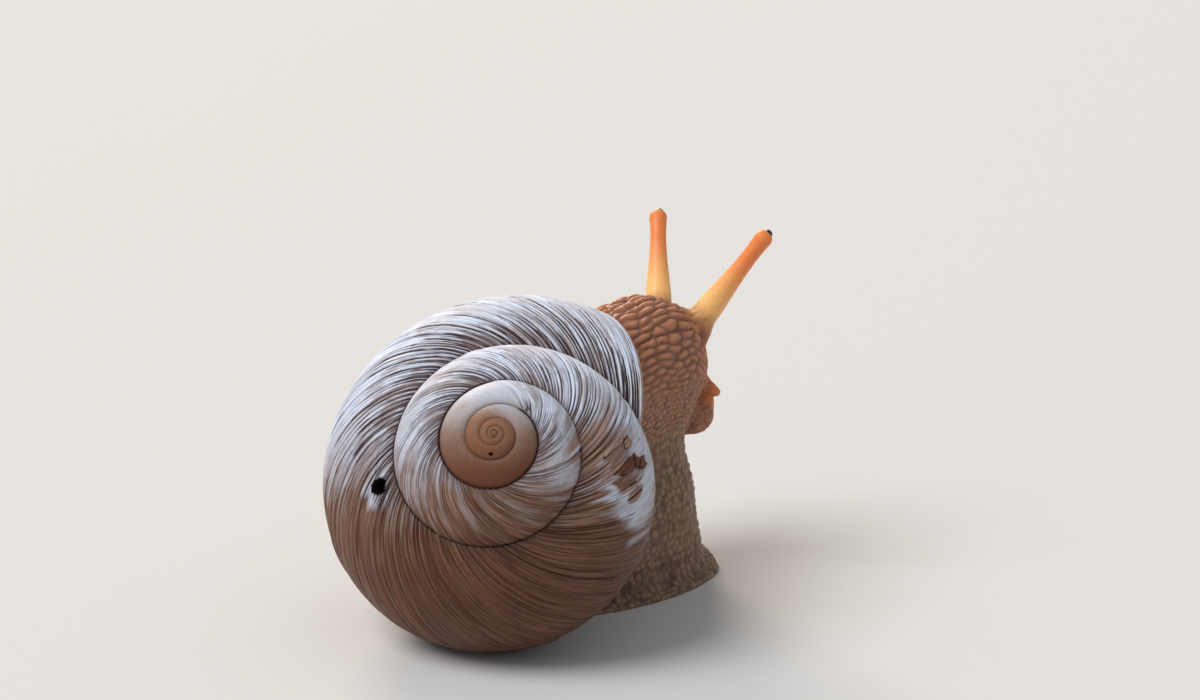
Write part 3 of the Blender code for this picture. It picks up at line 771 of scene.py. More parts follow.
@dataclass(frozen=True)
class EyeFinish:
    """A glossy black bead, a little brown where it meets the flesh."""

    black: Colour = (0.008, 0.006, 0.006)
    brown: Colour = (0.06, 0.03, 0.015)

    def material(self, effects: Effects) -> bpy.types.Material:
        """Builds the material.

        Args:
            effects: The shared node groups.

        Returns:
            The material.
        """
        material, nodes, shader = new_material("eye_bead")
        flecks = nodes.group(effects.grain, Place=nodes.place(), Size=0.0003, Cells=0.4)
        share = nodes.times(flecks.outputs[1], 0.35)
        nodes.feed(shader.inputs["Base Color"], nodes.mix(share, self.black, self.brown))
        nodes.feed(shader.inputs["Roughness"], nodes.span(flecks.outputs[0], 0.3, 0.7, 0.16, 0.28))
        shader.inputs["Coat Weight"].default_value = 0.4
        shader.inputs["Coat Roughness"].default_value = 0.12
        return material


@dataclass(frozen=True)
class FloorFinish:
    """Matt pale card."""

    card: Colour = (0.66, 0.65, 0.635)

    def material(self) -> bpy.types.Material:
        """Builds the material.

        Returns:
            The material.
        """
        material, _, shader = new_material("floor_card")
        shader.inputs["Base Color"].default_value = (*self.card, 1.0)
        shader.inputs["Roughness"].default_value = 0.9
        return material


# ------------------------------------------------------------------------------------------------------ shell
@dataclass(frozen=True)
class ShellForm:
    """The shell's winding: its tube at the lip, how it grows, and where it lies."""

    growth_factor: float = 1.7345
    tube_out: float = 13.53
    tube_down: float = 28.81
    half_width: float = 13.62
    half_height: float = 15.80
    lean: float = math.radians(11.4)
    out_power: float = 1.108
    down_power: float = 1.328
    mouth_length: float = math.radians(110.0)
    mouth_rise: float = 2.88
    mouth_pull_in: float = 1.73
    mouth_narrowing: float = 0.195
    lip_sweep: float = math.radians(50.0)
    sweep_fade: float = 1.2
    base_to_wall: float = 2.4
    lip_flare: float = 0.5
    flare_length: float = math.radians(12.0)
    pillar: float = 1.1
    base_end: float = math.radians(-176.0)
    apex: tuple[float, float, float] = (-30.0, -13.7, 27.5)
    heading: float = math.radians(-142.2)
    axis_lean: float = math.radians(54.9)
    spin: float = math.radians(111.8)
    periphery: float = 24.0         # largest distance from the axis, at the lip

    @property
    def rate(self) -> float:
        """Natural growth of the tube for each radian."""
        return math.log(self.growth_factor) / TURN

    def section(self, theta: Array, swell: Array | float = 0.0) -> tuple[Array, Array, Array, Array]:
        """The tube's section at an angle round the axis.

        Args:
            theta: Angle round the axis, 0 at the lip's top and negative before it.
            swell: Grows the section by this much all round.

        Returns:
            The centre's distance from the axis and height along it, and the two half axes.
        """
        size = np.exp(self.rate * theta)
        mouth = np.clip(1.0 + theta / self.mouth_length, 0.0, None) ** 2
        flare = self.lip_flare * np.clip(1.0 + theta / self.flare_length, 0.0, 1.5) ** 2
        narrowing = 1.0 - self.mouth_narrowing * mouth
        out = self.tube_out * size**self.out_power - self.mouth_pull_in * mouth
        along = -self.tube_down * size**self.down_power + self.mouth_rise * mouth
        return (out, along, self.half_width * size * narrowing + flare + swell,
                self.half_height * size * narrowing + flare + swell)

    def outline(self, theta: Array, angle: Array, swell: Array | float = 0.0) -> tuple[Array, Array]:
        """The section's outline, an ellipse that leans in.

        Args:
            theta: Angle round the axis.
            angle: Angle round the section, 0 on its outer side.
            swell: Grows the section by this much all round.

        Returns:
            Distance from the axis, and height along it.
        """
        out, along, half_width, half_height = self.section(theta, swell)
        across, upward = half_width * np.cos(angle), half_height * np.sin(angle)
        return (out + across * math.cos(self.lean) - upward * math.sin(self.lean),
                along + across * math.sin(self.lean) + upward * math.cos(self.lean))

    def in_section(self, theta: Array, radius: Array, height: Array) -> tuple[Array, Array]:
        """A point in the section's own axes.

        Args:
            theta: Angle round the axis.
            radius: The point's distance from the axis.
            height: Its height along the axis.

        Returns:
            How far it lies across and up, in units of the section's half axes.
        """
        out, along, half_width, half_height = self.section(theta)
        across = (radius - out) * math.cos(self.lean) + (height - along) * math.sin(self.lean)
        upward = (height - along) * math.cos(self.lean) - (radius - out) * math.sin(self.lean)
        return across / half_width, upward / half_height

    def suture(self, theta: Array) -> Array:
        """Where the tube meets the whorl before it, found by halving.

        Args:
            theta: Angles round the axis.

        Returns:
            Angle round the section at each.
        """
        outside, inside = np.full_like(theta, math.radians(10.0)), np.full_like(theta, math.radians(125.0))
        for _ in range(30):
            middle = (outside + inside) / 2.0
            across, upward = self.in_section(theta - TURN, *self.outline(theta, middle))
            is_outside = across**2 + upward**2 > 1.0
            outside, inside = np.where(is_outside, middle, outside), np.where(is_outside, inside, middle)
        return (outside + inside) / 2.0

    def shoulder(self, theta: Array) -> Array:
        """Where the next whorl covers the tube; the last whorl keeps its first value.

        Args:
            theta: Angles round the axis.

        Returns:
            Angle round the section at each.
        """
        following = np.minimum(theta, -TURN) + TURN
        across, upward = self.in_section(following - TURN, *self.outline(following, self.suture(following)))
        return np.arctan2(upward, across)

    def sweep(self, row: Array) -> Array:
        """How far growth lines fall back at a row: more and more slowly away from the suture."""
        full = 1.0 - math.exp(-1.0 / self.sweep_fade)
        return self.lip_sweep * (1.0 - np.exp(-row / self.sweep_fade)) / full

    def surface(self, growth: Array, row: Array, swell: Array | float = 0.0) -> Array:
        """Points of the shell on its own axes, where the axis is Z.

        The angle round the axis is the growth line's, less the sweep. The section angle runs from the suture
        to the shoulder over rows 0 to 1, and on to the base's end over rows 1 to 2. Near the axis the
        distance from it is eased off to leave the pillar.

        Args:
            growth: Growth lines.
            row: Rows; a little under 0 lies inside the whorl before.
            swell: Grows the section by this much all round.

        Returns:
            The points, with X, Y and Z last.
        """
        growth, row = np.broadcast_arrays(np.asarray(growth, float), np.asarray(row, float))
        base = np.clip(row - 1.0, 0.0, 1.0)
        theta = growth - self.sweep(np.clip(row, 0.0, 1.0) + base * self.base_to_wall)
        table = np.arange(theta.min() - 0.01, theta.max() + 0.02, 0.005)
        top = np.interp(theta, table, self.suture(table))
        shoulder = np.interp(theta, table, self.shoulder(table))
        angle = top + (shoulder - top) * np.minimum(row, 1.0) + (self.base_end - shoulder) * base
        radius, height = self.outline(theta, angle, swell)
        pillar = self.pillar * np.exp(self.rate * theta)
        radius = (radius + np.sqrt(radius**2 + pillar**2)) / 2.0
        return np.stack([radius * np.cos(theta), -radius * np.sin(theta), height], -1)

    def arc(self, growth: Array) -> Array:
        """Length along the periphery from the lip to a growth line, as on a logarithmic spiral."""
        return self.periphery / self.rate * (np.exp(self.rate * growth) - 1.0)

    def growth_lines(self, first: float, last: float, spacing: float) -> Array:
        """Growth lines an even distance apart on the periphery.

        Args:
            first: The first line.
            last: The last line.
            spacing: Distance from one to the next, in millimetres.

        Returns:
            The lines.
        """
        start, end = self.arc(np.array([first, last]))
        arcs = np.linspace(start, end, int(round((end - start) / spacing)) + 1)
        return np.log(1.0 + arcs * self.rate / self.periphery) / self.rate

    def placement(self) -> Array:
        """The matrix that takes the shell from its own axes to its place, in millimetres."""
        turn = Matrix.Rotation(self.heading, 4, "Z") @ Matrix.Rotation(self.axis_lean, 4, "Y")
        return np.array(Matrix.Translation(self.apex) @ turn @ Matrix.Rotation(self.spin, 4, "Z"))

    def placed(self, points: Array) -> Array:
        """Points taken from the shell's own axes to their place."""
        matrix = self.placement()
        return points @ matrix[:3, :3].T + matrix[:3, 3]

    def on_own_axes(self, points: Array) -> Array:
        """Points taken from their place to the shell's own axes."""
        matrix = self.placement()
        return (points - matrix[:3, 3]) @ matrix[:3, :3]

    def depth_in_mouth(self, points: Array) -> Array:
        """How far points lie behind the lip, in the last whorl's tube.

        Args:
            points: Points in their place.

        Returns:
            The depth of each, as an angle round the axis.
        """
        own = self.on_own_axes(points)
        theta = -np.arctan2(own[:, 1], own[:, 0])
        theta = np.where(theta > math.radians(40.0), theta - TURN, theta)
        across, upward = self.in_section(theta, np.hypot(own[:, 0], own[:, 1]), own[:, 2])
        angle = np.arctan2(upward, across)
        top, shoulder = self.suture(theta), self.shoulder(theta)
        angle = np.where(angle > top, angle - TURN, angle)
        wall = np.clip((angle - top) / (shoulder - top), 0.0, 1.0)
        base = np.clip((angle - shoulder) / (self.base_end - shoulder), 0.0, 1.0)
        return -self.sweep(wall + base * self.base_to_wall) - theta

    def buried(self, points: Array) -> Array:
        """How deep points lie in the last two whorls.

        Args:
            points: Points in their place.

        Returns:
            Depth in millimetres, negative outside.
        """
        own = self.on_own_axes(points)
        theta = -np.arctan2(own[:, 1], own[:, 0])
        depth = np.full(len(points), -99.0)
        for turns in range(-2, 1):
            angle = theta + turns * TURN
            across, upward = self.in_section(angle, np.hypot(own[:, 0], own[:, 1]), own[:, 2])
            inward = (1.0 - np.hypot(across, upward)) * self.section(angle)[2]
            depth = np.maximum(depth, np.where(angle < 0.0, inward, -99.0))
        return depth


class Mark(Enum):
    """Damage on the shell: growth line and row of its middle, in degrees and rows, and its radius."""

    PIT = (-162.0, 0.15, 0.82)
    SMALL_PIT = (-1285.0, 0.68, 0.22)
    FLAKES = (-304.0, 0.52, 2.7)
    BARE_LIME = (-293.0, 0.66, 4.5)
    HALO = (-161.0, 0.16, 2.3)
    OLD_SCAR = (-736.0, 0.16, 1.1)
    RED_STAIN = (-326.0, 0.22, 4.6)
    LOW_STAIN = (-236.0, 0.40, 6.2)


@dataclass(frozen=True)
class Ribs:
    """One size of growth wrinkle: a groove along each of many growth lines."""

    seed: int
    spacing: float      # mean distance from one to the next, near the lip
    deep: float
    breadth: float      # in spacings
    run: float          # how far down the whorl a groove stays alike
    darkness: float


@dataclass
class Shell:
    """The shell's outside, its lip and the walls inside its mouth, in three pieces that share their edges."""

    form: ShellForm
    effects: Effects
    spire_spacing: float = 0.125
    last_spacing: float = 0.108
    oldest: float = math.radians(-1990.0)
    last_whorl: float = math.radians(-310.0)
    parietal: float = math.radians(-336.0)      # start of the base inside the mouth
    smooth_until: float = math.radians(-742.0)
    spire_rows: int = 74
    wall_rows: int = 86
    base_rows: int = 80
    lip_thickness: float = 0.9
    inner_wall: float = math.radians(-23.0)     # how far the inner wall runs back
    tuck: float = 0.03                          # rows hidden under the neighbouring whorl
    far: float = 99.0                           # stands for no suture below
    pit_depth: float = 1.8
    ribs: tuple[Ribs, ...] = (Ribs(21, 2.7, 0.12, 0.16, 12.0, 0.55), Ribs(22, 1.0, 0.22, 0.21, 9.0, 1.0),
                              Ribs(23, 0.52, 0.07, 0.22, 5.0, 0.55))
    # Where growth stopped for a winter, in degrees before the lip
    growth_stops: tuple[float, ...] = (-11.0, -73.0, -128.0, -205.0, -251.0, -330.0, -402.0, -520.0, -649.0)

    def mark_middle(self, mark: Mark, under: float = 0.0) -> Array:
        """A mark's middle, on the shell's own axes, or a point that far under it."""
        growth, row, _ = mark.value
        return self.form.surface(np.array([math.radians(growth)]), np.array([row]), -under)[0]

    def mark_distance(self, grid: Array, mark: Mark) -> Array:
        """Distance of points from a mark's middle, in units of its radius."""
        return np.linalg.norm(grid - self.mark_middle(mark), axis=-1) / mark.value[2]

    def ribs_from_lip(self, growth: Array, spacing: float) -> Array:
        """Ribs between the lip and a growth line; their spacing shrinks with the whorl to the power 0.75."""
        quarter = self.form.rate / 4.0
        return self.form.periphery / (quarter * spacing) * (np.exp(quarter * growth) - 1.0)

    def relief(self, growth: Array, along: Array) -> tuple[Array, Array]:
        """Growth wrinkles: a groove along each of many growth lines, at three spacings, that comes and goes.

        Args:
            growth: Growth lines.
            along: Length down the whorl from the suture.

        Returns:
            Height in millimetres, at or under 0, and the grooves' darkness from 0 to 1.
        """
        arc, size = self.form.arc(growth), np.exp(self.form.rate * growth)
        near_suture = fade(along, 9.0 * size)
        depth, dark = np.zeros_like(along), np.zeros_like(along)
        sway = 0.30 * soft_noise(11, arc / 6.0, along / 5.0)
        sway = sway + 0.09 * soft_noise(12, arc / 1.6, along / 2.4)
        for ribs in self.ribs:
            count = self.ribs_from_lip(growth, ribs.spacing) + sway / ribs.spacing
            distance, line = nearest_line(ribs.seed, count, 1.0)
            chance = soft_noise(ribs.seed + 20, line * 0.618, along / ribs.run)
            strength = np.clip(0.34 + 0.76 * near_suture + 0.60 * chance, 0.0, 1.0)
            groove = bell(distance, ribs.breadth * (0.65 + 0.35 * strength + 0.35 * near_suture)) * strength
            depth += ribs.deep * size**0.75 * groove
            dark = np.maximum(dark, groove * ribs.darkness * (0.55 + 0.45 * near_suture))
        for stop in self.growth_stops:
            distance = arc - self.form.arc(math.radians(stop))
            halt = bell(distance, 0.16)
            depth += 0.20 * halt - 0.13 * bell(distance + 0.45, 0.30)
            broken = ease(-0.5, 0.4, soft_noise(29, along / 2.5, growth * 0.0 + stop))
            dark = np.maximum(dark, 0.75 * broken * halt)
        return -depth, dark

    def damage(self, grid: Array, arc: Array, along: Array, lines: Array) -> tuple[Array, SimpleNamespace]:
        """Flakes, bare lime, pits, scar and stains, each round the middle of its mark.

        Args:
            grid: Smooth points.
            arc: Length of the periphery from the lip to each.
            along: Length down the whorl from the suture to each.
            lines: Growth line of each.

        Returns:
            Height in millimetres, and each kind of damage from 0 to 1, with the plates of the flaked skin.
        """
        near = {mark: self.mark_distance(grid, mark) for mark in Mark}
        plates = np.stack([arc.ravel(), along.ravel()], -1)
        nearest, border, chip = (part.reshape(along.shape) for part in cells(31, plates, (1.6, 3.4), 1.0))
        crack = bell(border, 0.13)
        ragged = 0.42 * soft_noise(41, arc / 0.8, along / 3.2)
        flaked = ease(1.10, 0.92, near[Mark.FLAKES] + ragged)
        scale = ease(0.03, 0.16, border) * (chip > 0.45) * flaked
        curl = ease(0.45, 0.85, nearest) * scale
        bare = ease(1.30, 0.70, near[Mark.BARE_LIME] + ragged) * (1.0 - flaked)
        pit = ease(1.06, 0.94, near[Mark.PIT] + 0.26 * soft_noise(42, along / 0.5, lines * 20.0))
        small_pit = ease(1.2, 0.6, near[Mark.SMALL_PIT])
        scar = ease(1.2, 0.3, near[Mark.OLD_SCAR]) * (0.2 + 0.8 * crack)
        lift = (0.24 * scale + 0.30 * curl - 0.14 * flaked - 0.07 * bare - self.pit_depth * pit
                - 0.35 * small_pit - 0.15 * scar)
        stain = ease(1.2, 0.5, near[Mark.RED_STAIN] + ragged)
        stain = np.maximum(stain, ease(1.2, 0.4, near[Mark.LOW_STAIN] + ragged))
        return lift, SimpleNamespace(
            flaked=flaked, bare=bare, pit=pit, small_pit=small_pit, scar=scar, stain=stain,
            halo=ease(1.1, 0.6, near[Mark.HALO] + ragged) * (1.0 - pit),
            cracked=crack * ease(1.5, 0.9, near[Mark.HALO]) * 0.7,
            plates=np.stack([border, chip, near[Mark.FLAKES] + ragged], -1),
        )

    def carve(self, growth: Array, rows: Array, grid: Array) -> tuple[Array, dict[str, Array]]:
        """Adds the relief, the sutures' creases and the damage to a smooth grid.

        Args:
            growth: Growth line of each column.
            rows: Row of each point down a column.
            grid: Smooth points.

        Returns:
            The carved points, and what the finish needs to know about each.
        """
        normal = grid_normals(grid)
        steps = np.linalg.norm(np.diff(grid, axis=1), axis=-1)
        along = np.concatenate([np.zeros((len(grid), 1)), np.cumsum(steps, axis=1)], axis=1)
        along -= along[:, [int(np.abs(rows).argmin())]]
        lines = np.broadcast_to(growth[:, None], along.shape)
        to_end = np.where(lines < self.last_whorl, along[:, [-1]] - along, self.far)
        arc, size = self.form.arc(lines), np.exp(self.form.rate * lines)
        ribbed = ease(self.smooth_until - 0.4, self.smooth_until + 0.25, lines)
        ribbed = ribbed * (0.82 + 0.18 * ease(math.radians(-420.0), math.radians(-250.0), lines))
        faint = ribbed + 0.10 * ease(math.radians(-1300.0), math.radians(-900.0), lines)
        lift, groove = self.relief(lines, along)
        lift = lift * np.minimum(faint, 1.0)
        lift -= np.maximum(0.40 * size - 0.06, 0.0) * fade(along, 0.10 + 0.30 * size)
        lift -= 0.10 * size * fade(to_end, 0.35)
        whorl = 14.0 * size
        rounding = fade(along, 0.2 * whorl) + fade(to_end, 0.2 * whorl)
        lift -= 0.07 * whorl * rounding * (1.0 - ease(0.0, 0.6, ribbed))
        dent, marks = self.damage(grid, arc, along, lines)
        lift += dent

        grown = 0.15 + 0.85 * ease(math.radians(-900.0), math.radians(-720.0), lines)
        seam = (fade(along, 0.14) + fade(to_end, 0.10)) * grown
        # Dark lines of the sutures, scar and cracks, with painted shade in the bored hole and the small pit.
        pit_shade_and_dark_lines = np.maximum.reduce([0.6 * marks.pit, marks.small_pit, marks.scar, marks.cracked, 0.58 * seam])
        facts = {
            "growth": np.stack([arc, along, np.zeros_like(along)], -1),
            "groove": groove * (1.0 - 0.9 * marks.flaked) * (1.0 - 0.5 * marks.bare),
            "ribbed": ribbed,
            "age": -lines / TURN,
            "shoulder": fade(along, 8.0),
            "chalk": np.clip(0.85 * marks.bare + 0.8 * marks.halo, 0.0, 1.0),
            "stain": 0.85 * marks.stain,
            "plates": marks.plates,
            # Painted shade near both sutures, read as a mauve tint.
            "suture": (fade(along, 0.30 + 0.25 * size) + 0.6 * fade(to_end, 0.35)) * (0.20 + 0.80 * grown),
            "lip_edge": ease(math.radians(-3.0), math.radians(-0.5), lines) * 0.8,
            "dark": np.clip(pit_shade_and_dark_lines, 0.0, 1.0),
        }
        return grid + normal * lift[..., None] * self.outward(grid, normal), facts

    def outward(self, grid: Array, normal: Array) -> float:
        """Which way a grid's normals point.

        Args:
            grid: Points on the shell's own axes.
            normal: Their normals.

        Returns:
            1 if they point away from the axis, else -1.
        """
        away = grid.copy()
        away[..., 2] = 0.0
        return float(np.sign((away * normal).sum(-1).mean()))

    def add_piece(self, name: str, grid: Array, normals: Array, facts: dict[str, Array],
                  window: tuple[slice, slice], finish: bpy.types.Material) -> None:
        """Makes one piece from part of a grid, with the whole grid's normals, so that no seam shows.

        Args:
            name: The piece's name.
            grid: Points in their place.
            normals: Their normals, pointing out.
            facts: What the finish reads.
            window: Columns and rows to keep.
            finish: The material.
        """
        part = grid[window]
        quads = grid_faces(part.shape[0], part.shape[1])
        first = part[0, 0], part[0, 1], part[1, 1]
        facing = np.cross(first[1] - first[0], first[2] - first[1]) @ normals[window][0, 0]
        if facing < 0.0:
            quads = quads[:, ::-1]
        piece = new_mesh(name, part.reshape(-1, 3), quads)
        piece.data.materials.append(finish)
        for fact, values in facts.items():
            kept = values[window]
            set_attribute(piece, fact, kept.reshape(-1, 3) if kept.ndim == 3 else kept.ravel())
        piece.data.normals_split_custom_set_from_vertices(normals[window].reshape(-1, 3))
        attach(piece, "root")
        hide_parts("shell")
        report(piece)

    def finished(self, grid: Array, outer: int | None = None) -> tuple[Array, Array]:
        """Places a carved grid, stops it at the floor, and works out its normals, pointing out.

        Args:
            grid: Points on the shell's own axes.
            outer: How many columns, from the first, are on the shell's outside; all of them without it.

        Returns:
            The points in their place, and their normals.
        """
        sign = self.outward(grid[:outer], grid_normals(grid[:outer]))
        placed = self.form.placed(grid)
        placed[..., 2] = np.maximum(placed[..., 2], 0.0)
        return placed, grid_normals(placed) * sign

    def build_spire(self, finish: bpy.types.Material) -> None:
        """The whorls before the last.

        Args:
            finish: The shell's material.
        """
        growth = self.form.growth_lines(self.oldest, self.last_whorl, self.spire_spacing)
        rows = np.linspace(-self.tuck, 1.0 + self.tuck, self.spire_rows + 1)
        grid = self.form.surface(growth[:, None], rows[None, :])
        carved, facts = self.carve(growth, rows, grid)
        placed, normals = self.finished(carved)
        self.add_piece("shell_spire", placed, normals, facts, (slice(None), slice(None)), finish)

    def build_nucleus(self, finish: bpy.types.Material) -> None:
        """The bead at the shell's tip: a squat ball, sunk in the first whorl.

        Args:
            finish: The shell's material.
        """
        around = np.linspace(0.0, TURN, 33)[:, None]
        down = np.linspace(0.02, math.pi - 0.02, 25)[None, :]
        grid = np.stack([0.62 * np.sin(down) * np.cos(around), 0.62 * np.sin(down) * np.sin(around),
                         0.52 * np.cos(down) - 0.32 + 0.0 * around], -1)
        facts = {name: np.zeros(grid.shape[:2]) for name in
                 ("groove", "ribbed", "shoulder", "chalk", "stain", "suture", "lip_edge", "dark")}
        facts |= {"growth": grid, "plates": np.full(grid.shape, 9.0), "age": np.full(grid.shape[:2], 5.5)}
        placed, normals = self.finished(grid)
        self.add_piece("shell_nucleus", placed, normals, facts, (slice(None), slice(None)), finish)

    def rolled_lip(self, rows: Array, rim: float) -> tuple[Array, int]:
        """The lip's round edge, and the wall inside the mouth.

        Args:
            rows: Rows of the last whorl.
            rim: Half of the lip's thickness.

        Returns:
            Their points, and how many of the columns are the round edge.
        """
        rim_angle = rim / self.form.periphery
        turn = np.linspace(0.0, math.pi, 9)[1:]
        back = np.linspace(-rim_angle, self.inner_wall, 30)[1:]
        lines = np.concatenate([-rim_angle + rim_angle * np.sin(turn), back])
        swell = np.concatenate([rim * (np.cos(turn) - 1.0), np.full(len(back), -2.0 * rim)])
        return self.form.surface(lines[:, None], rows[None, :], swell[:, None]), len(turn)

    def build_last_whorl(self, finish: bpy.types.Material) -> None:
        """The last whorl's wall and base, which roll over the lip and run back inside the mouth.

        Args:
            finish: The shell's material.
        """
        rim = self.lip_thickness / 2.0
        growth = self.form.growth_lines(self.parietal, -rim / self.form.periphery, self.last_spacing)
        rows = np.concatenate([np.linspace(-self.tuck, 1.0, self.wall_rows + 1),
                               np.linspace(1.0, 2.0, self.base_rows + 1)[1:]])
        outer = self.form.surface(growth[:, None], rows[None, :])
        carved, facts = self.carve(growth, rows, outer)
        inner, edge = self.rolled_lip(rows, rim)
        fading = np.concatenate([np.ones(edge), np.exp(-np.arange(len(inner) - edge) / 3.0)])[:, None, None]
        sheet = np.concatenate([carved, inner + (carved[-1] - outer[-1])[None] * fading])
        for fact, values in facts.items():
            facts[fact] = np.concatenate([values, np.repeat(values[-1:], len(inner), axis=0)])
        facts["lip_edge"][len(carved):] = 1.0
        facts["dark"][len(carved):] = 0.0

        axis = sheet[:, -1:].copy()
        axis[..., :2] *= 0.03
        sheet = np.concatenate([sheet, axis], axis=1)
        facts = {fact: np.concatenate([values, values[:, -1:]], axis=1) for fact, values in facts.items()}
        placed, normals = self.finished(sheet, len(carved))
        first = int(np.searchsorted(growth, self.last_whorl)) - 1
        for name, window in (("shell_last_whorl", (slice(first, None), slice(0, self.wall_rows + 1))),
                             ("shell_base", (slice(None), slice(self.wall_rows, None)))):
            self.add_piece(name, placed, normals, facts, window, finish)

    def build(self) -> None:
        """Makes every piece of the shell."""
        pit = self.form.placed(self.mark_middle(Mark.PIT, self.pit_depth / 2.0)) * MM
        finish = ShellFinish().material(self.effects, pit, Mark.PIT.value[2] * MM)
        self.build_spire(finish)
        self.build_nucleus(finish)
        self.build_last_whorl(finish)


# ------------------------------------------------------------------------------------------------------- skin
@dataclass(frozen=True)
class Feeler:
    """One feeler: where it starts, how long it is past its root, its radii and where it points."""

    root: tuple[float, float, float]
    length: float
    radii: tuple[float, float, float]
    spread: float
    pitch: float

    @property
    def direction(self) -> Array:
        """Unit vector from root to tip."""
        return np.array([math.cos(self.pitch) * math.cos(self.spread),
                         math.cos(self.pitch) * math.sin(self.spread), math.sin(self.pitch)])

    def rings(self, sides: int = 40) -> Array:
        """A turned form: tapered from the root, swollen at the tip, with a round end.

        Args:
            sides: Points in each ring.

        Returns:
            The rings, from under the root to the tip.
        """
        root, _, tip = self.radii
        heights = np.linspace(0.0, self.length - tip, 60)
        radii = self.radius_at(heights)
        turn = np.linspace(0.0, math.pi / 2.0, 14)[1:]
        heights = np.concatenate([[-3.2, -3.0, -1.2], heights, heights[-1] + tip * np.sin(turn)])
        radii = np.concatenate([[0.0, root * 1.5, root * 1.3], radii, tip * np.cos(turn)])
        up = self.direction
        side = np.cross(up, (0.0, 0.0, 1.0))
        side /= np.linalg.norm(side)
        angle = np.linspace(0.0, TURN, sides, endpoint=False)
        circle = np.cos(angle)[:, None] * side + np.sin(angle)[:, None] * np.cross(up, side)
        return np.array(self.root) + heights[:, None, None] * up + radii[:, None, None] * circle[None]

    def radius_at(self, along: Array) -> Array:
        """The feeler's radius: tapered from the root, and swollen again at the tip.

        Args:
            along: Distance from the root.

        Returns:
            The radius there.
        """
        root, waist, tip = self.radii
        share = np.clip(along / (self.length - tip), 0.0, 1.0)
        return waist + (root - waist) * (1.0 - share) ** 1.6 + (tip - waist) * share**6

    def trued(self, points: Array) -> Array:
        """Moves points near the feeler out to its exact profile, or to the ball at its tip.

        Args:
            points: The skin's points.

        Returns:
            The same points, moved.
        """
        share, aside = self.share_along(points)
        along = share * self.length
        on_axis = np.minimum(along, self.length - self.radii[2])[:, None]
        middle = np.array(self.root) + on_axis * self.direction
        offset = points - middle
        away = offset / np.maximum(np.linalg.norm(offset, axis=1, keepdims=True), 1e-6)
        exact = middle + away * self.radius_at(along)[:, None]
        near = ease(0.2 + 0.08 * self.length, 0.75 + 0.12 * self.length, along)
        near = near * ease(0.9, 0.6, aside - self.radius_at(along))
        return points + (exact - points) * near[:, None]

    def share_along(self, points: Array) -> tuple[Array, Array]:
        """Where points lie along the feeler.

        Args:
            points: The points.

        Returns:
            Each one's share of the way to the tip, and its distance from the feeler's axis.
        """
        offset = points - np.array(self.root)
        along = offset @ self.direction
        aside = np.linalg.norm(offset - along[:, None] * self.direction, axis=1)
        return along / self.length, aside


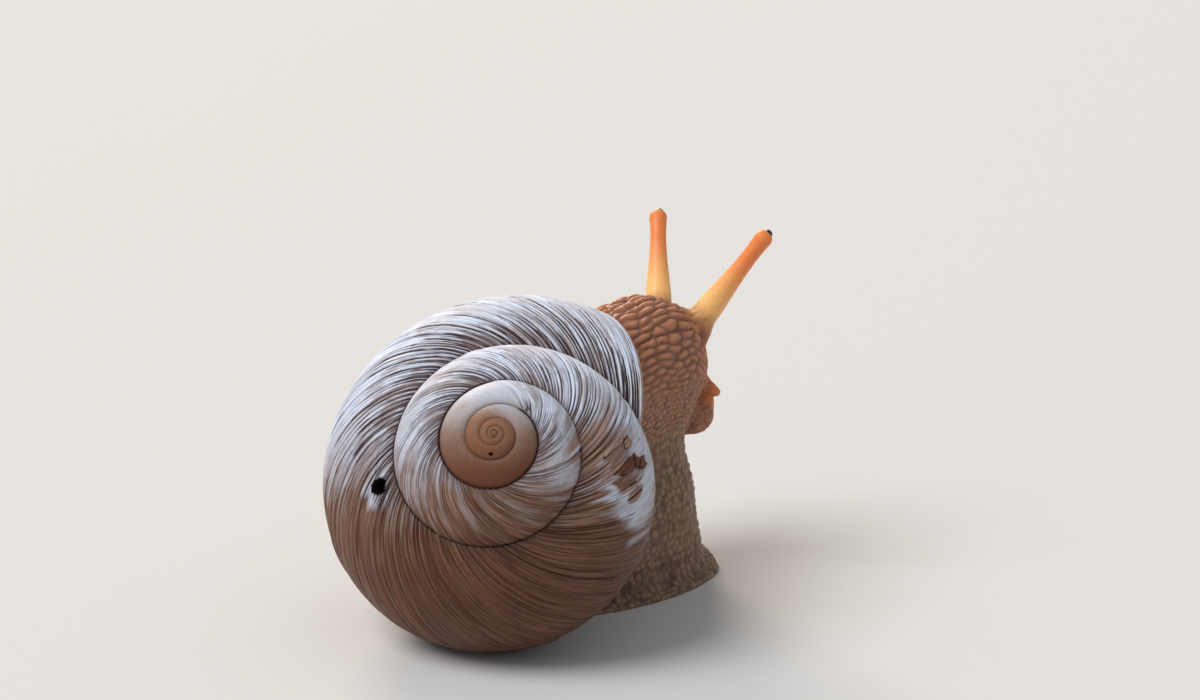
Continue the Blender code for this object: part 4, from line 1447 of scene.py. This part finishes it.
@dataclass(frozen=True)
class BodyForm:
    """The soft body's lofts: level sections up its front, upright sections along its neck and its foot."""

    # Height, foremost point, hindmost point, half width
    front: tuple = (
        (-1.5, 14.7, -4.0, 8.4), (2.5, 14.4, -4.0, 8.3), (7.0, 13.7, -4.0, 7.8), (11.3, 13.2, -3.0, 7.3),
        (14.6, 12.2, -2.0, 6.6), (17.4, 12.6, -1.0, 6.1), (20.0, 14.4, 0.0, 6.3), (24.0, 16.0, 1.0, 6.7),
        (28.0, 14.9, 2.0, 6.2), (31.0, 12.9, 3.0, 4.7), (32.4, 10.2, 5.0, 2.0),
    )
    # Distance ahead, middle to the left, middle's height, half width, half height
    neck: tuple = (
        (-9.0, 1.0, 21.1, 8.3, 9.9), (-2.0, 0.5, 22.1, 7.6, 9.4), (4.0, 0.0, 23.2, 7.0, 9.3),
        (9.0, 0.0, 23.7, 6.7, 9.0), (12.8, 0.0, 24.3, 5.5, 6.4), (14.8, 0.0, 24.6, 4.0, 4.3),
    )
    # Ahead, to the left, half width, height
    foot: tuple = (
        (10.5, 0.0, 5.8, 10.0), (5.0, 0.0, 8.2, 13.5), (-2.0, 1.0, 8.8, 14.0), (-8.5, 4.2, 8.4, 12.0),
        (-13.3, 8.0, 7.0, 8.8), (-17.0, 11.0, 5.3, 6.2), (-19.8, 13.2, 3.3, 3.6), (-21.6, 14.5, 1.2, 1.3),
    )
    # Ahead, to the left, half width, height
    skirt: tuple = (
        (16.0, 0.0, 3.0, 2.3), (13.4, 0.0, 7.4, 2.5), (6.0, 0.0, 10.0, 2.6), (-2.0, 1.0, 10.2, 2.6),
        (-8.5, 4.2, 9.4, 2.6), (-13.3, 8.0, 7.8, 2.6), (-16.8, 10.8, 5.9, 2.2), (-19.4, 12.9, 3.9, 1.6),
        (-21.2, 14.2, 1.4, 0.9),
    )
    squareness: float = 2.3
    sides: int = 96
    steps: int = 10
    lobe: tuple[float, float, float] = (13.6, 2.45, 17.9)
    lobe_radius: float = 2.90
    lip: tuple[float, float, float] = (13.9, 0.0, 18.2)
    lip_radius: float = 2.7

    def ring(self, centre: Array, across: Array, upward: Array, half_across: Array, half_up: Array) -> Array:
        """Rings that are ellipses made slightly square: each half axis times a power of cosine or sine.

        Args:
            centre: Their middles.
            across: Direction of their first half axis.
            upward: Direction of their second.
            half_across: Length of the first.
            half_up: Length of the second.

        Returns:
            The rings.
        """
        angle = np.linspace(0.0, TURN, self.sides, endpoint=False)
        power = 2.0 / self.squareness
        side = np.sign(np.cos(angle)) * np.abs(np.cos(angle)) ** power
        rise = np.sign(np.sin(angle)) * np.abs(np.sin(angle)) ** power
        return (centre[:, None] + (side[None] * half_across[:, None])[..., None] * across[:, None]
                + (rise[None] * half_up[:, None])[..., None] * upward[:, None])

    def front_rings(self) -> Array:
        """Level rings up the foot's front, the chin, the face and the crown.

        Returns:
            The rings, from the bottom up.
        """
        rows = smooth_path(self.front, self.steps)
        height, ahead, behind, half_width = rows.T
        centre = np.stack([(ahead + behind) / 2.0, 0.0 * height, height], -1)
        forward, left = (np.tile(axis, (len(rows), 1)) for axis in ((1.0, 0.0, 0.0), (0.0, 1.0, 0.0)))
        return self.ring(centre, forward, left, (ahead - behind) / 2.0, half_width)

    def neck_rings(self) -> Array:
        """Upright rings from inside the shell to the face."""
        rows = smooth_path(self.neck, self.steps)
        return self.ring(rows[:, :3], np.tile((0.0, 1.0, 0.0), (len(rows), 1)),
                         np.tile((0.0, 0.0, 1.0), (len(rows), 1)), rows[:, 3], rows[:, 4])

    def sole_rings(self, stations: tuple) -> Array:
        """Upright rings along the sole, square to its curved path.

        Args:
            stations: How far ahead and to the left each one is, its half width and its height.

        Returns:
            The rings, from the front to the tail.
        """
        rows = smooth_path(stations, self.steps)
        heading = np.arctan2(np.gradient(rows[:, 1]), np.gradient(rows[:, 0]))
        centre = np.stack([rows[:, 0], rows[:, 1], 0.0 * heading], -1)
        across = np.stack([-np.sin(heading), np.cos(heading), 0.0 * heading], -1)
        return self.ring(centre, across, np.tile((0.0, 0.0, 1.0), (len(rows), 1)), rows[:, 2], rows[:, 3])

    def ball_rings(self, centre: tuple[float, float, float], radius: float) -> Array:
        """A ball as level rings.

        Args:
            centre: Its middle.
            radius: Its radius.

        Returns:
            The rings, from the top down.
        """
        down = np.linspace(0.0, math.pi, 24)[:, None]
        around = np.linspace(0.0, TURN, self.sides, endpoint=False)[None, :]
        ball = np.stack([np.sin(down) * np.cos(around), np.sin(down) * np.sin(around),
                         np.cos(down) + 0.0 * around], -1)
        return np.array(centre) + radius * ball


@dataclass(frozen=True)
class Warts:
    """One size of wart. Its cells have two sizes on the neck, along its bent axes, and elsewhere three."""

    seed: int
    sizes: tuple[float, ...]
    deep: float
    jitter: float
    reach: float        # from a wart's middle to its edge, in cells


@dataclass
class Skin:
    """The whole soft body in one skin: lofts run together by a fine voxel remesh, then folds and warts."""

    shell: ShellForm
    effects: Effects
    form: BodyForm
    feelers: dict[str, Feeler]
    voxel: float = 0.24
    mantle_front: float = math.radians(5.0)
    mantle_back: float = math.radians(12.0)
    mantle_rows: tuple[float, float] = (0.06, 1.95)
    parietal_rows: tuple[float, float] = (1.01, 1.90)
    mantle_inset: float = 0.95
    neck_end: float = math.radians(10.0)    # the neck ends inside the mantle, this far behind the lip
    # How far behind the mantle's front each of its rings lies, as an angle, and its size against the mouth's
    mantle_roll: tuple[Span, ...] = ((0.03, 0.0), (0.0, 0.40), (-0.045, 0.60), (-0.075, 0.76), (-0.070, 0.87),
                                     (-0.035, 0.95), (0.03, 1.0))
    sunk: float = 0.4               # how far the lofts go under the floor before the sole is pressed flat
    inset: float = 0.20             # how far the skin is drawn in under the lofts
    furrow_depth: float = 0.09      # of the furrows across the foot's fringe
    bend: tuple[float, float] = (5.0, 8.0)      # ahead and up: what the neck's rows of warts turn round
    bend_to_neck: float = 14.5      # from there to the neck's middle
    bend_radius: float = 16.0       # the radius that lengths along the neck are measured at
    neck_radius: float = 8.6        # the same for lengths round the neck
    # The cleft under the lip, the mouth, brow, cheeks, chin, back and fringe
    fold_depths: tuple[float, ...] = (0.30, 0.7, 0.08, 0.30, 0.20, 0.22, 0.22)
    wart_kinds: tuple[Warts, ...] = (
        Warts(51, (1.80, 0.94), 0.46, 0.66, 0.70), Warts(52, (1.20, 0.76), 0.31, 0.70, 0.70),
        Warts(53, (0.84, 0.84, 0.84), 0.24, 0.80, 0.68), Warts(54, (0.62, 0.62, 0.62), 0.10, 0.80, 0.80),
    )

    def mantle_patch(self, depth: float) -> Array:
        """Points across the shell's mouth, ruled from its outer wall to the whorl opposite.

        Args:
            depth: How far behind the lip, as an angle.

        Returns:
            A grid of points.
        """
        outer = self.shell.surface(np.array(-depth), np.linspace(*self.mantle_rows, 60), -self.mantle_inset)
        growth = -TURN + self.shell.lip_sweep - depth
        inner = self.shell.surface(np.array(growth), np.linspace(*self.parietal_rows, 60), 0.25)
        share = np.linspace(0.0, 1.0, 24)[None, :, None]
        return self.shell.placed(outer[:, None] * (1.0 - share) + inner[:, None] * share)

    def mantle_rings(self) -> Array:
        """A plug in the shell's mouth, as rings round its rim from a point in front to a point behind.

        Returns:
            The rings.
        """
        rings = []
        back = self.mantle_back - self.mantle_front
        for step, shrink in (*self.mantle_roll, (back, 1.0), (back, 0.0)):
            patch = self.mantle_patch(self.mantle_front + step)
            rim = np.concatenate([patch[:, 0], patch[-1, 1:], patch[-2::-1, -1], patch[0, -2:0:-1]])
            middle = patch[len(patch) // 2, patch.shape[1] // 2]
            rings.append(middle + (rim - middle) * shrink)
        return np.array(rings)

    def ended_in_mantle(self, rings: Array) -> Array:
        """The neck's rings, with each of their lines stopped where it has gone far enough into the shell.

        Args:
            rings: Rings from the back to the front.

        Returns:
            The same rings, where all points that lie too deep in the mouth are the last one that doesn't.
        """
        depth = self.shell.depth_in_mouth(rings.reshape(-1, 3))
        kept = depth.reshape(rings.shape[:2]) <= self.neck_end
        first = kept.argmax(0)
        end = rings[first, np.arange(rings.shape[1])]
        return np.where((np.arange(rings.shape[0])[:, None] < first)[..., None], end, rings)

    def raw_form(self) -> bpy.types.Object:
        """Every loft, closed at both ends, as one mesh of overlapping solids.

        Returns:
            The mesh object.
        """
        form = self.form
        forms = [form.front_rings(), self.ended_in_mantle(form.neck_rings()), form.sole_rings(form.foot),
                 form.sole_rings(form.skirt), self.mantle_rings()]
        forms += [feeler.rings() for feeler in self.feelers.values()]
        forms += [form.ball_rings((form.lobe[0], side * form.lobe[1], form.lobe[2]), form.lobe_radius)
                  for side in (-1.0, 1.0)]
        forms.append(form.ball_rings(form.lip, form.lip_radius))
        points, quads, count = [], [], 0
        for rings in forms:
            ends = rings.mean(1, keepdims=True)
            rings = np.concatenate([np.broadcast_to(ends[:1], rings[:1].shape), rings,
                                    np.broadcast_to(ends[-1:], rings[:1].shape)])
            rings[..., 2] = np.maximum(rings[..., 2], -self.sunk)
            points.append(rings.reshape(-1, 3))
            quads.append(grid_faces(rings.shape[0], rings.shape[1], closed=True) + count)
            count += points[-1].shape[0]
        return new_mesh("skin", np.concatenate(points), np.concatenate(quads))

    def run_together(self, thing: bpy.types.Object) -> None:
        """Turns the overlapping lofts into one closed skin with soft joints.

        Args:
            thing: The lofts, whose mesh is replaced.
        """
        remesh = thing.modifiers.new("one_skin", "REMESH")
        remesh.mode = "VOXEL"
        remesh.voxel_size = self.voxel * MM
        smooth = thing.modifiers.new("soften", "SMOOTH")
        smooth.factor = 0.5
        smooth.iterations = 14
        graph = bpy.context.evaluated_depsgraph_get()
        mesh = bpy.data.meshes.new_from_object(thing.evaluated_get(graph))
        thing.modifiers.clear()
        old = thing.data
        thing.data = mesh
        bpy.data.meshes.remove(old)

    def press_under_shell(self, points: Array) -> Array:
        """Lowers the foot where the shell lies on it, until it is just under the shell's surface.

        Args:
            points: The skin's points.

        Returns:
            The same points, moved.
        """
        points = points.copy()
        depth = self.shell.depth_in_mouth(points)
        movable = (points[:, 2] < 15.0) & (depth > math.radians(30.0))
        for _ in range(40):
            deep = np.where(movable, self.shell.buried(points) - 0.35, 0.0)
            points[:, 2] -= np.clip(deep, 0.0, 0.4) * (points[:, 2] > 0.4)
        return points

    def folds(self, points: Array) -> tuple[Array, Array]:
        """Folds of the face, the back and the foot, each a groove with a bell-shaped section.

        Args:
            points: The skin's points.

        Returns:
            Depth in millimetres, and the painted shade of the mouth and of the cleft under the lip.
        """
        x, y, z = points.T
        aside, ahead = np.abs(y), ease(11.5, 13.5, x)
        cleft = bell(y, 0.35) * ease(15.0, 16.4, z) * ease(20.2, 18.4, z) * ahead
        mouth = bell(y, 1.1) * bell(z - 15.9 - 0.25 * y**2, 0.50) * ahead
        brow = bell(z - 20.9 + 0.05 * y**2, 0.40) * ahead * ease(4.6, 3.0, aside)
        cheek = bell(np.hypot(aside - 2.6, z - 17.9) - 2.95, 0.30) * ease(10.5, 12.0, x)
        cheek = cheek * ease(3.2, 4.6, aside) * ease(15.4, 16.6, z)
        chin = bell(z - 14.5, 0.7) * ahead * ease(6.5, 4.5, aside)
        back = bell(aside - 1.15, 0.28) * ease(24.0, 28.0, z) * ease(14.5, 12.5, x)
        fringe = bell(z - 2.9, 0.30) * ease(14.0, 10.0, z)
        grooves = (cleft, mouth, brow, cheek, chin, back, fringe)
        depth = sum(deep * groove for deep, groove in zip(self.fold_depths, grooves))
        return depth, np.clip(0.5 * cleft + 1.1 * mouth, 0.0, 0.92)

    def warts(self, points: Array, amber: Array, mantle: Array) -> tuple[Array, Array]:
        """Warts: random cells whose borders are grooves, longest in the direction of the neck.

        On the neck the pattern is drawn on bent axes, as on a ring: the angle round a point low in the neck,
        so that its rows run along the back and turn down over the face, and the angle round the neck itself.
        Four sizes are mixed, large on the neck and small towards the sole.

        Args:
            points: The skin's points.
            amber: 1 on the feelers.
            mantle: 1 on the mantle.

        Returns:
            Depth under the warts' tops in millimetres, and height from 0 in a groove to 1 on a top.
        """
        x, y, z = points.T
        ahead, up = x - self.bend[0], z - self.bend[1]
        ring = np.hypot(ahead, up)
        drift = 0.60 * soft_noise(55, x / 2.9 + y / 2.5, z / 2.7 + y / 5.0)
        sway = 0.42 * soft_noise(56, x / 3.1 - y / 3.7, z / 2.6)
        sway = sway + 0.15 * soft_noise(57, x / 1.3 + y / 1.2, z / 1.3)
        along = np.arctan2(ahead, up) * self.bend_radius
        around = np.arctan2(y, ring - self.bend_to_neck) * self.neck_radius
        bent = np.stack([along + drift, around + sway], -1)
        layers = []
        for kind in self.wart_kinds:
            on_neck = len(kind.sizes) == 2
            nearest, border, carried = cells(kind.seed, bent if on_neck else points, kind.sizes, kind.jitter,
                                             0.5 if on_neck else 0.0)
            reach = kind.reach * (0.88 + 0.24 * carried)
            cap = np.sqrt(np.clip(1.0 - (nearest / reach) ** 2, 0.0, 1.0))
            layer = (0.20 + 0.80 * cap) * (1.0 - 0.62 * bell(border, 0.24 * kind.sizes[1]))
            if on_neck:
                across = bent[:, 1] / kind.sizes[1]
                layer *= 1.0 - 0.35 * bell(across - np.round(across), 0.20)
            layers.append(layer)
        face = ease(12.5, 15.5, x) * ease(13.0, 17.0, z)
        high = ease(20.5, 25.5, z + 1.2 * soft_noise(61, x / 3.0, y / 3.0)) * (1.0 - face)
        middle = ease(12.5, 19.0, z + 1.8 * soft_noise(62, x / 2.5, z / 2.5 + y / 2.5)) * (1.0 - 0.75 * face)
        smallest = np.clip(amber + mantle, 0.0, 1.0)
        shares = [share * (1 - smallest) for share in (high, middle * (1 - high), (1 - middle) * (1 - high))]
        shares.append(smallest)
        total = sum(shares) + 1e-9
        height = sum(share * layer for share, layer in zip(shares, layers)) / total
        depth = sum(share * kind.deep * (1.0 - layer)
                    for share, kind, layer in zip(shares, self.wart_kinds, layers)) / total
        return depth * (1.0 - 0.60 * face), height

    def mantle_share(self, points: Array) -> Array:
        """Where the skin is the mantle: in the shell's mouth, off the neck and above the foot.

        Args:
            points: The skin's points.

        Returns:
            1 on the mantle.
        """
        x, y, z = points.T
        depth = self.shell.depth_in_mouth(points)
        in_mouth = ease(math.radians(-6.0), math.radians(-3.0), depth)
        in_mouth = in_mouth * ease(math.radians(40.0), math.radians(30.0), depth)
        in_mouth = in_mouth * (self.shell.buried(points) > 0.2)
        rows = smooth_path(self.form.neck, self.form.steps)
        left, middle, half_width, half_height = (np.interp(x, rows[:, 0], rows[:, i]) for i in (1, 2, 3, 4))
        off_neck = ease(1.00, 1.10, np.hypot((y - left) / half_width, (z - middle) / half_height))
        return in_mouth * off_neck * (z > 4.0)

    def feeler_share(self, points: Array) -> tuple[Array, Array]:
        """Where the skin is a feeler.

        Args:
            points: The skin's points.

        Returns:
            1 on an upper feeler and less on a lower one; and the share of the way up an upper one, or 1 on a
            lower one.
        """
        amber, reach = np.zeros(len(points)), np.zeros(len(points))
        for feeler in self.feelers.values():
            is_upper = feeler.length > 5.0
            share, aside = feeler.share_along(points)
            from_root = share * feeler.length
            blend = 0.6 + 0.08 * feeler.length
            outside = aside - feeler.radius_at(from_root)
            start = -0.8 * blend if is_upper else 0.5
            mask = ease(start, start + 1.8 * blend, from_root) * ease(0.3 + blend, 0.1 + 0.2 * blend, outside)
            amber = np.maximum(amber, mask * (share < 1.4) * (1.0 if is_upper else 0.55))
            reach = np.maximum(reach, (share if is_upper else 1.0) * (mask > 0.0))
        return amber, reach

    def dress(self, thing: bpy.types.Object) -> None:
        """Folds, warts and fringe, moved in from the surface, and the attributes that the finish reads.

        Args:
            thing: The smooth skin.
        """
        mesh = thing.data
        points, normals = np.empty(len(mesh.vertices) * 3), np.empty(len(mesh.vertices) * 3)
        mesh.vertices.foreach_get("co", points)
        mesh.vertex_normals.foreach_get("vector", normals)
        points, normals = points.reshape(-1, 3) / MM, normals.reshape(-1, 3)
        points = self.press_under_shell(points)
        for feeler in self.feelers.values():
            points = feeler.trued(points)
        x, y, z = points.T

        mantle = self.mantle_share(points)
        amber, reach = self.feeler_share(points)
        wart_depth, wart = self.warts(points, amber, mantle)
        folds, mouth = self.folds(points)
        folds = folds * (1.0 - amber)
        around = np.arctan2(y, x - 3.0) * 9.0
        furrow, _ = nearest_line(71, around + 0.4 * soft_noise(72, x, y), 1.0)
        furrows = self.furrow_depth * bell(furrow, 0.22) * (ease(3.2, 2.4, z) * ease(0.25, 0.8, z))
        lift = -self.inset * (1.0 - 0.88 * amber) - (wart_depth + folds) * ease(0.1, 0.6, z) - furrows
        moved = points + normals * lift[:, None]
        moved[:, 2] = np.maximum(moved[:, 2], 0.0)
        mesh.vertices.foreach_set("co", (moved * MM).ravel())
        mesh.update()

        snout = ease(10.0, 12.5, x) * ease(14.0, 16.0, z)
        facts = {
            # Lower in the furrows and folds, for their painted shade.
            "wart": np.clip(wart - 1.5 * furrows - 0.5 * folds, 0.0, 1.0),
            "ash": ease(27.0, 12.0, z + 2.5 * soft_noise(81, x / 4.0 + z / 4.0, y / 4.0)) * (1.0 - snout),
            "rust": ease(11.0, 15.0, x + 0.10 * (z - 20.0)) * ease(12.0, 15.0, z) * (1.0 - amber),
            "amber": amber,
            "reach": reach,
            "cream": mantle,
            # Painted shade of the mouth and the cleft under the lip.
            "painted_mouth_shade": mouth,
        }
        for name, values in facts.items():
            set_attribute(thing, name, values)

    def build(self) -> None:
        """Makes the skin."""
        thing = self.raw_form()
        self.run_together(thing)
        self.dress(thing)
        thing.data.shade_smooth()
        thing.data.materials.clear()
        thing.data.materials.append(SkinFinish().material(self.effects))
        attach(thing, "root")
        sides = [f"{kind}_tentacle_{side}" for kind in ("upper", "lower") for side in ("left", "right")]
        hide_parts("mantle_collar", "neck", "head", "lips", "foot", "tail", *sides)
        report(thing)


@dataclass
class Eyes:
    """Two glossy beads set in the ends of the upper feelers."""

    effects: Effects
    feelers: dict[str, Feeler]
    radius: float = 0.55
    behind_tip: float = 0.46
    ahead: float = 0.22
    circles: int = 31
    sides: int = 48

    def ball(self, name: str, centre: Array) -> bpy.types.Object:
        """A ball: level circles, closed at both poles.

        Args:
            name: The object's name.
            centre: Its middle, in millimetres.

        Returns:
            The object, linked to the scene.
        """
        down = np.linspace(0.0, math.pi, self.circles + 2)[1:-1, None]
        around = np.linspace(0.0, TURN, self.sides, endpoint=False)
        ring = np.stack([np.sin(down) * np.cos(around), np.sin(down) * np.sin(around),
                         np.cos(down) + 0.0 * around], -1).reshape(-1, 3)
        points = np.vstack([ring, (0.0, 0.0, 1.0), (0.0, 0.0, -1.0)]) * self.radius + centre
        quads = grid_faces(self.circles, self.sides, closed=True)
        follow = np.roll(np.arange(self.sides), -1)
        last = (self.circles - 1) * self.sides
        caps = [(len(ring), a, b) for a, b in zip(follow, range(self.sides))]
        caps += [(len(ring) + 1, last + a, last + b) for a, b in zip(range(self.sides), follow)]
        mesh = bpy.data.meshes.new(name)
        mesh.from_pydata(points * MM, [], [*(tuple(quad[::-1]) for quad in quads.tolist()), *caps])
        mesh.shade_smooth()
        ball = bpy.data.objects.new(name, mesh)
        bpy.context.scene.collection.objects.link(ball)
        return ball

    def build(self) -> None:
        """Makes both eyes, each a little ahead of its feeler's axis."""
        finish = EyeFinish().material(self.effects)
        for side in ("left", "right"):
            feeler = self.feelers[f"upper_{side}"]
            centre = np.array(feeler.root) + feeler.direction * (feeler.length - self.behind_tip)
            centre[0] += self.ahead
            ball = self.ball(f"eye_bead_{side}", centre)
            ball.data.materials.append(finish)
            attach(ball, "root")
            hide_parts(f"eye_{side}")
            report(ball)


# ----------------------------------------------------------------------------------------------------- studio
@dataclass(frozen=True)
class Lamp:
    """A distant soft lamp: where it shines from (right, back, up), how wide it looks, strength and colour."""

    name: str
    place: tuple[float, float, float]
    width: float
    strength: float
    colour: Colour


@dataclass
class Studio:
    """Floor, lamps and camera. The camera looks at the subject from a heading and a pitch."""

    subject: tuple[float, float, float] = (-7.1, -7.3, 30.6)
    distance: float = 350.0
    heading: float = math.radians(-46.98)
    pitch: float = math.radians(-15.51)
    lens: float = 96.0
    lamps: tuple[Lamp, ...] = (
        Lamp("key", (-0.60, -0.30, 0.85), math.radians(38.0), 2.25, (0.98, 0.99, 1.0)),
        Lamp("rim", (-0.28, 0.90, 0.46), math.radians(24.0), 1.60, (1.0, 0.80, 0.58)),
    )
    sky: Colour = (0.92, 0.95, 1.0)
    sky_strength: float = 0.42
    floor_reach: float = 4000.0
    floor_drop: float = 0.02        # how far the floor lies under the sole

    def build_camera(self) -> None:
        """The camera, without depth of field or shift."""
        data = bpy.data.cameras.new("camera")
        data.lens = self.lens
        data.clip_start, data.clip_end = 0.01, 20.0
        camera = bpy.data.objects.new("camera", data)
        camera.rotation_euler = (math.pi / 2.0 + self.pitch, 0.0, self.heading)
        looking = Vector((-math.sin(self.heading) * math.cos(self.pitch),
                          math.cos(self.heading) * math.cos(self.pitch), math.sin(self.pitch)))
        camera.location = (Vector(self.subject) - looking * self.distance) * MM
        bpy.context.scene.collection.objects.link(camera)
        bpy.context.scene.camera = camera

    def build_lamps(self) -> None:
        """The lamps, turned about the subject as the camera sees it, and a pale world."""
        turn = Matrix.Rotation(self.heading, 3, "Z")
        for lamp in self.lamps:
            data = bpy.data.lights.new(lamp.name, "SUN")
            data.angle = lamp.width
            data.energy = lamp.strength
            data.color = lamp.colour
            thing = bpy.data.objects.new(lamp.name, data)
            thing.rotation_euler = (turn @ Vector(lamp.place)).to_track_quat("Z", "Y").to_euler()
            bpy.context.scene.collection.objects.link(thing)
        world = bpy.data.worlds.new("studio")
        world.use_nodes = True
        sky = world.node_tree.nodes["Background"]
        sky.inputs["Color"].default_value = (*self.sky, 1.0)
        sky.inputs["Strength"].default_value = self.sky_strength
        bpy.context.scene.world = world

    def build_floor(self) -> None:
        """A plain pale floor, a hair under the sole."""
        signs = ((-1.0, -1.0), (1.0, -1.0), (1.0, 1.0), (-1.0, 1.0))
        corners = np.array([(x * self.floor_reach, y * self.floor_reach, -self.floor_drop) for x, y in signs])
        floor = new_mesh("floor", corners, np.array([[0, 1, 2, 3]]))
        floor.data.materials.append(FloorFinish().material())

    def build(self) -> None:
        """Makes the studio."""
        self.build_camera()
        self.build_lamps()
        self.build_floor()
        bpy.context.scene.view_settings.view_transform = "Standard"


def upper_feeler(aside: float, spread: float, pitch: float) -> Feeler:
    """One of the two upper feelers, which carry the eyes; `aside` is how far its root is to the left."""
    return Feeler((14.2, aside, 29.8), 12.3, (1.75, 0.85, 1.1), math.radians(spread), math.radians(pitch))


def lower_feeler(side: float) -> Feeler:
    """One of the two lower feelers, beside the mouth; `side` is 1 on the left and -1 on the right."""
    spread, pitch = side * math.radians(32.0), math.radians(-38.0)
    return Feeler((13.9, side * 3.7, 21.8), 2.9, (1.45, 0.82, 0.74), spread, pitch)


def main() -> None:
    """Builds the snail and its studio, and notes the sizes of what was built."""
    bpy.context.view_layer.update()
    shell = ShellForm()
    effects = Effects()
    feelers = {
        "upper_left": upper_feeler(3.3, 42.5, 50.0),
        "upper_right": upper_feeler(-3.75, -49.0, 53.5),
        "lower_left": lower_feeler(1.0),
        "lower_right": lower_feeler(-1.0),
    }
    Shell(shell, effects).build()
    Skin(shell, effects, BodyForm(), feelers).build()
    Eyes(effects, feelers).build()
    Studio().build()


if __name__ == "__main__":
    main()
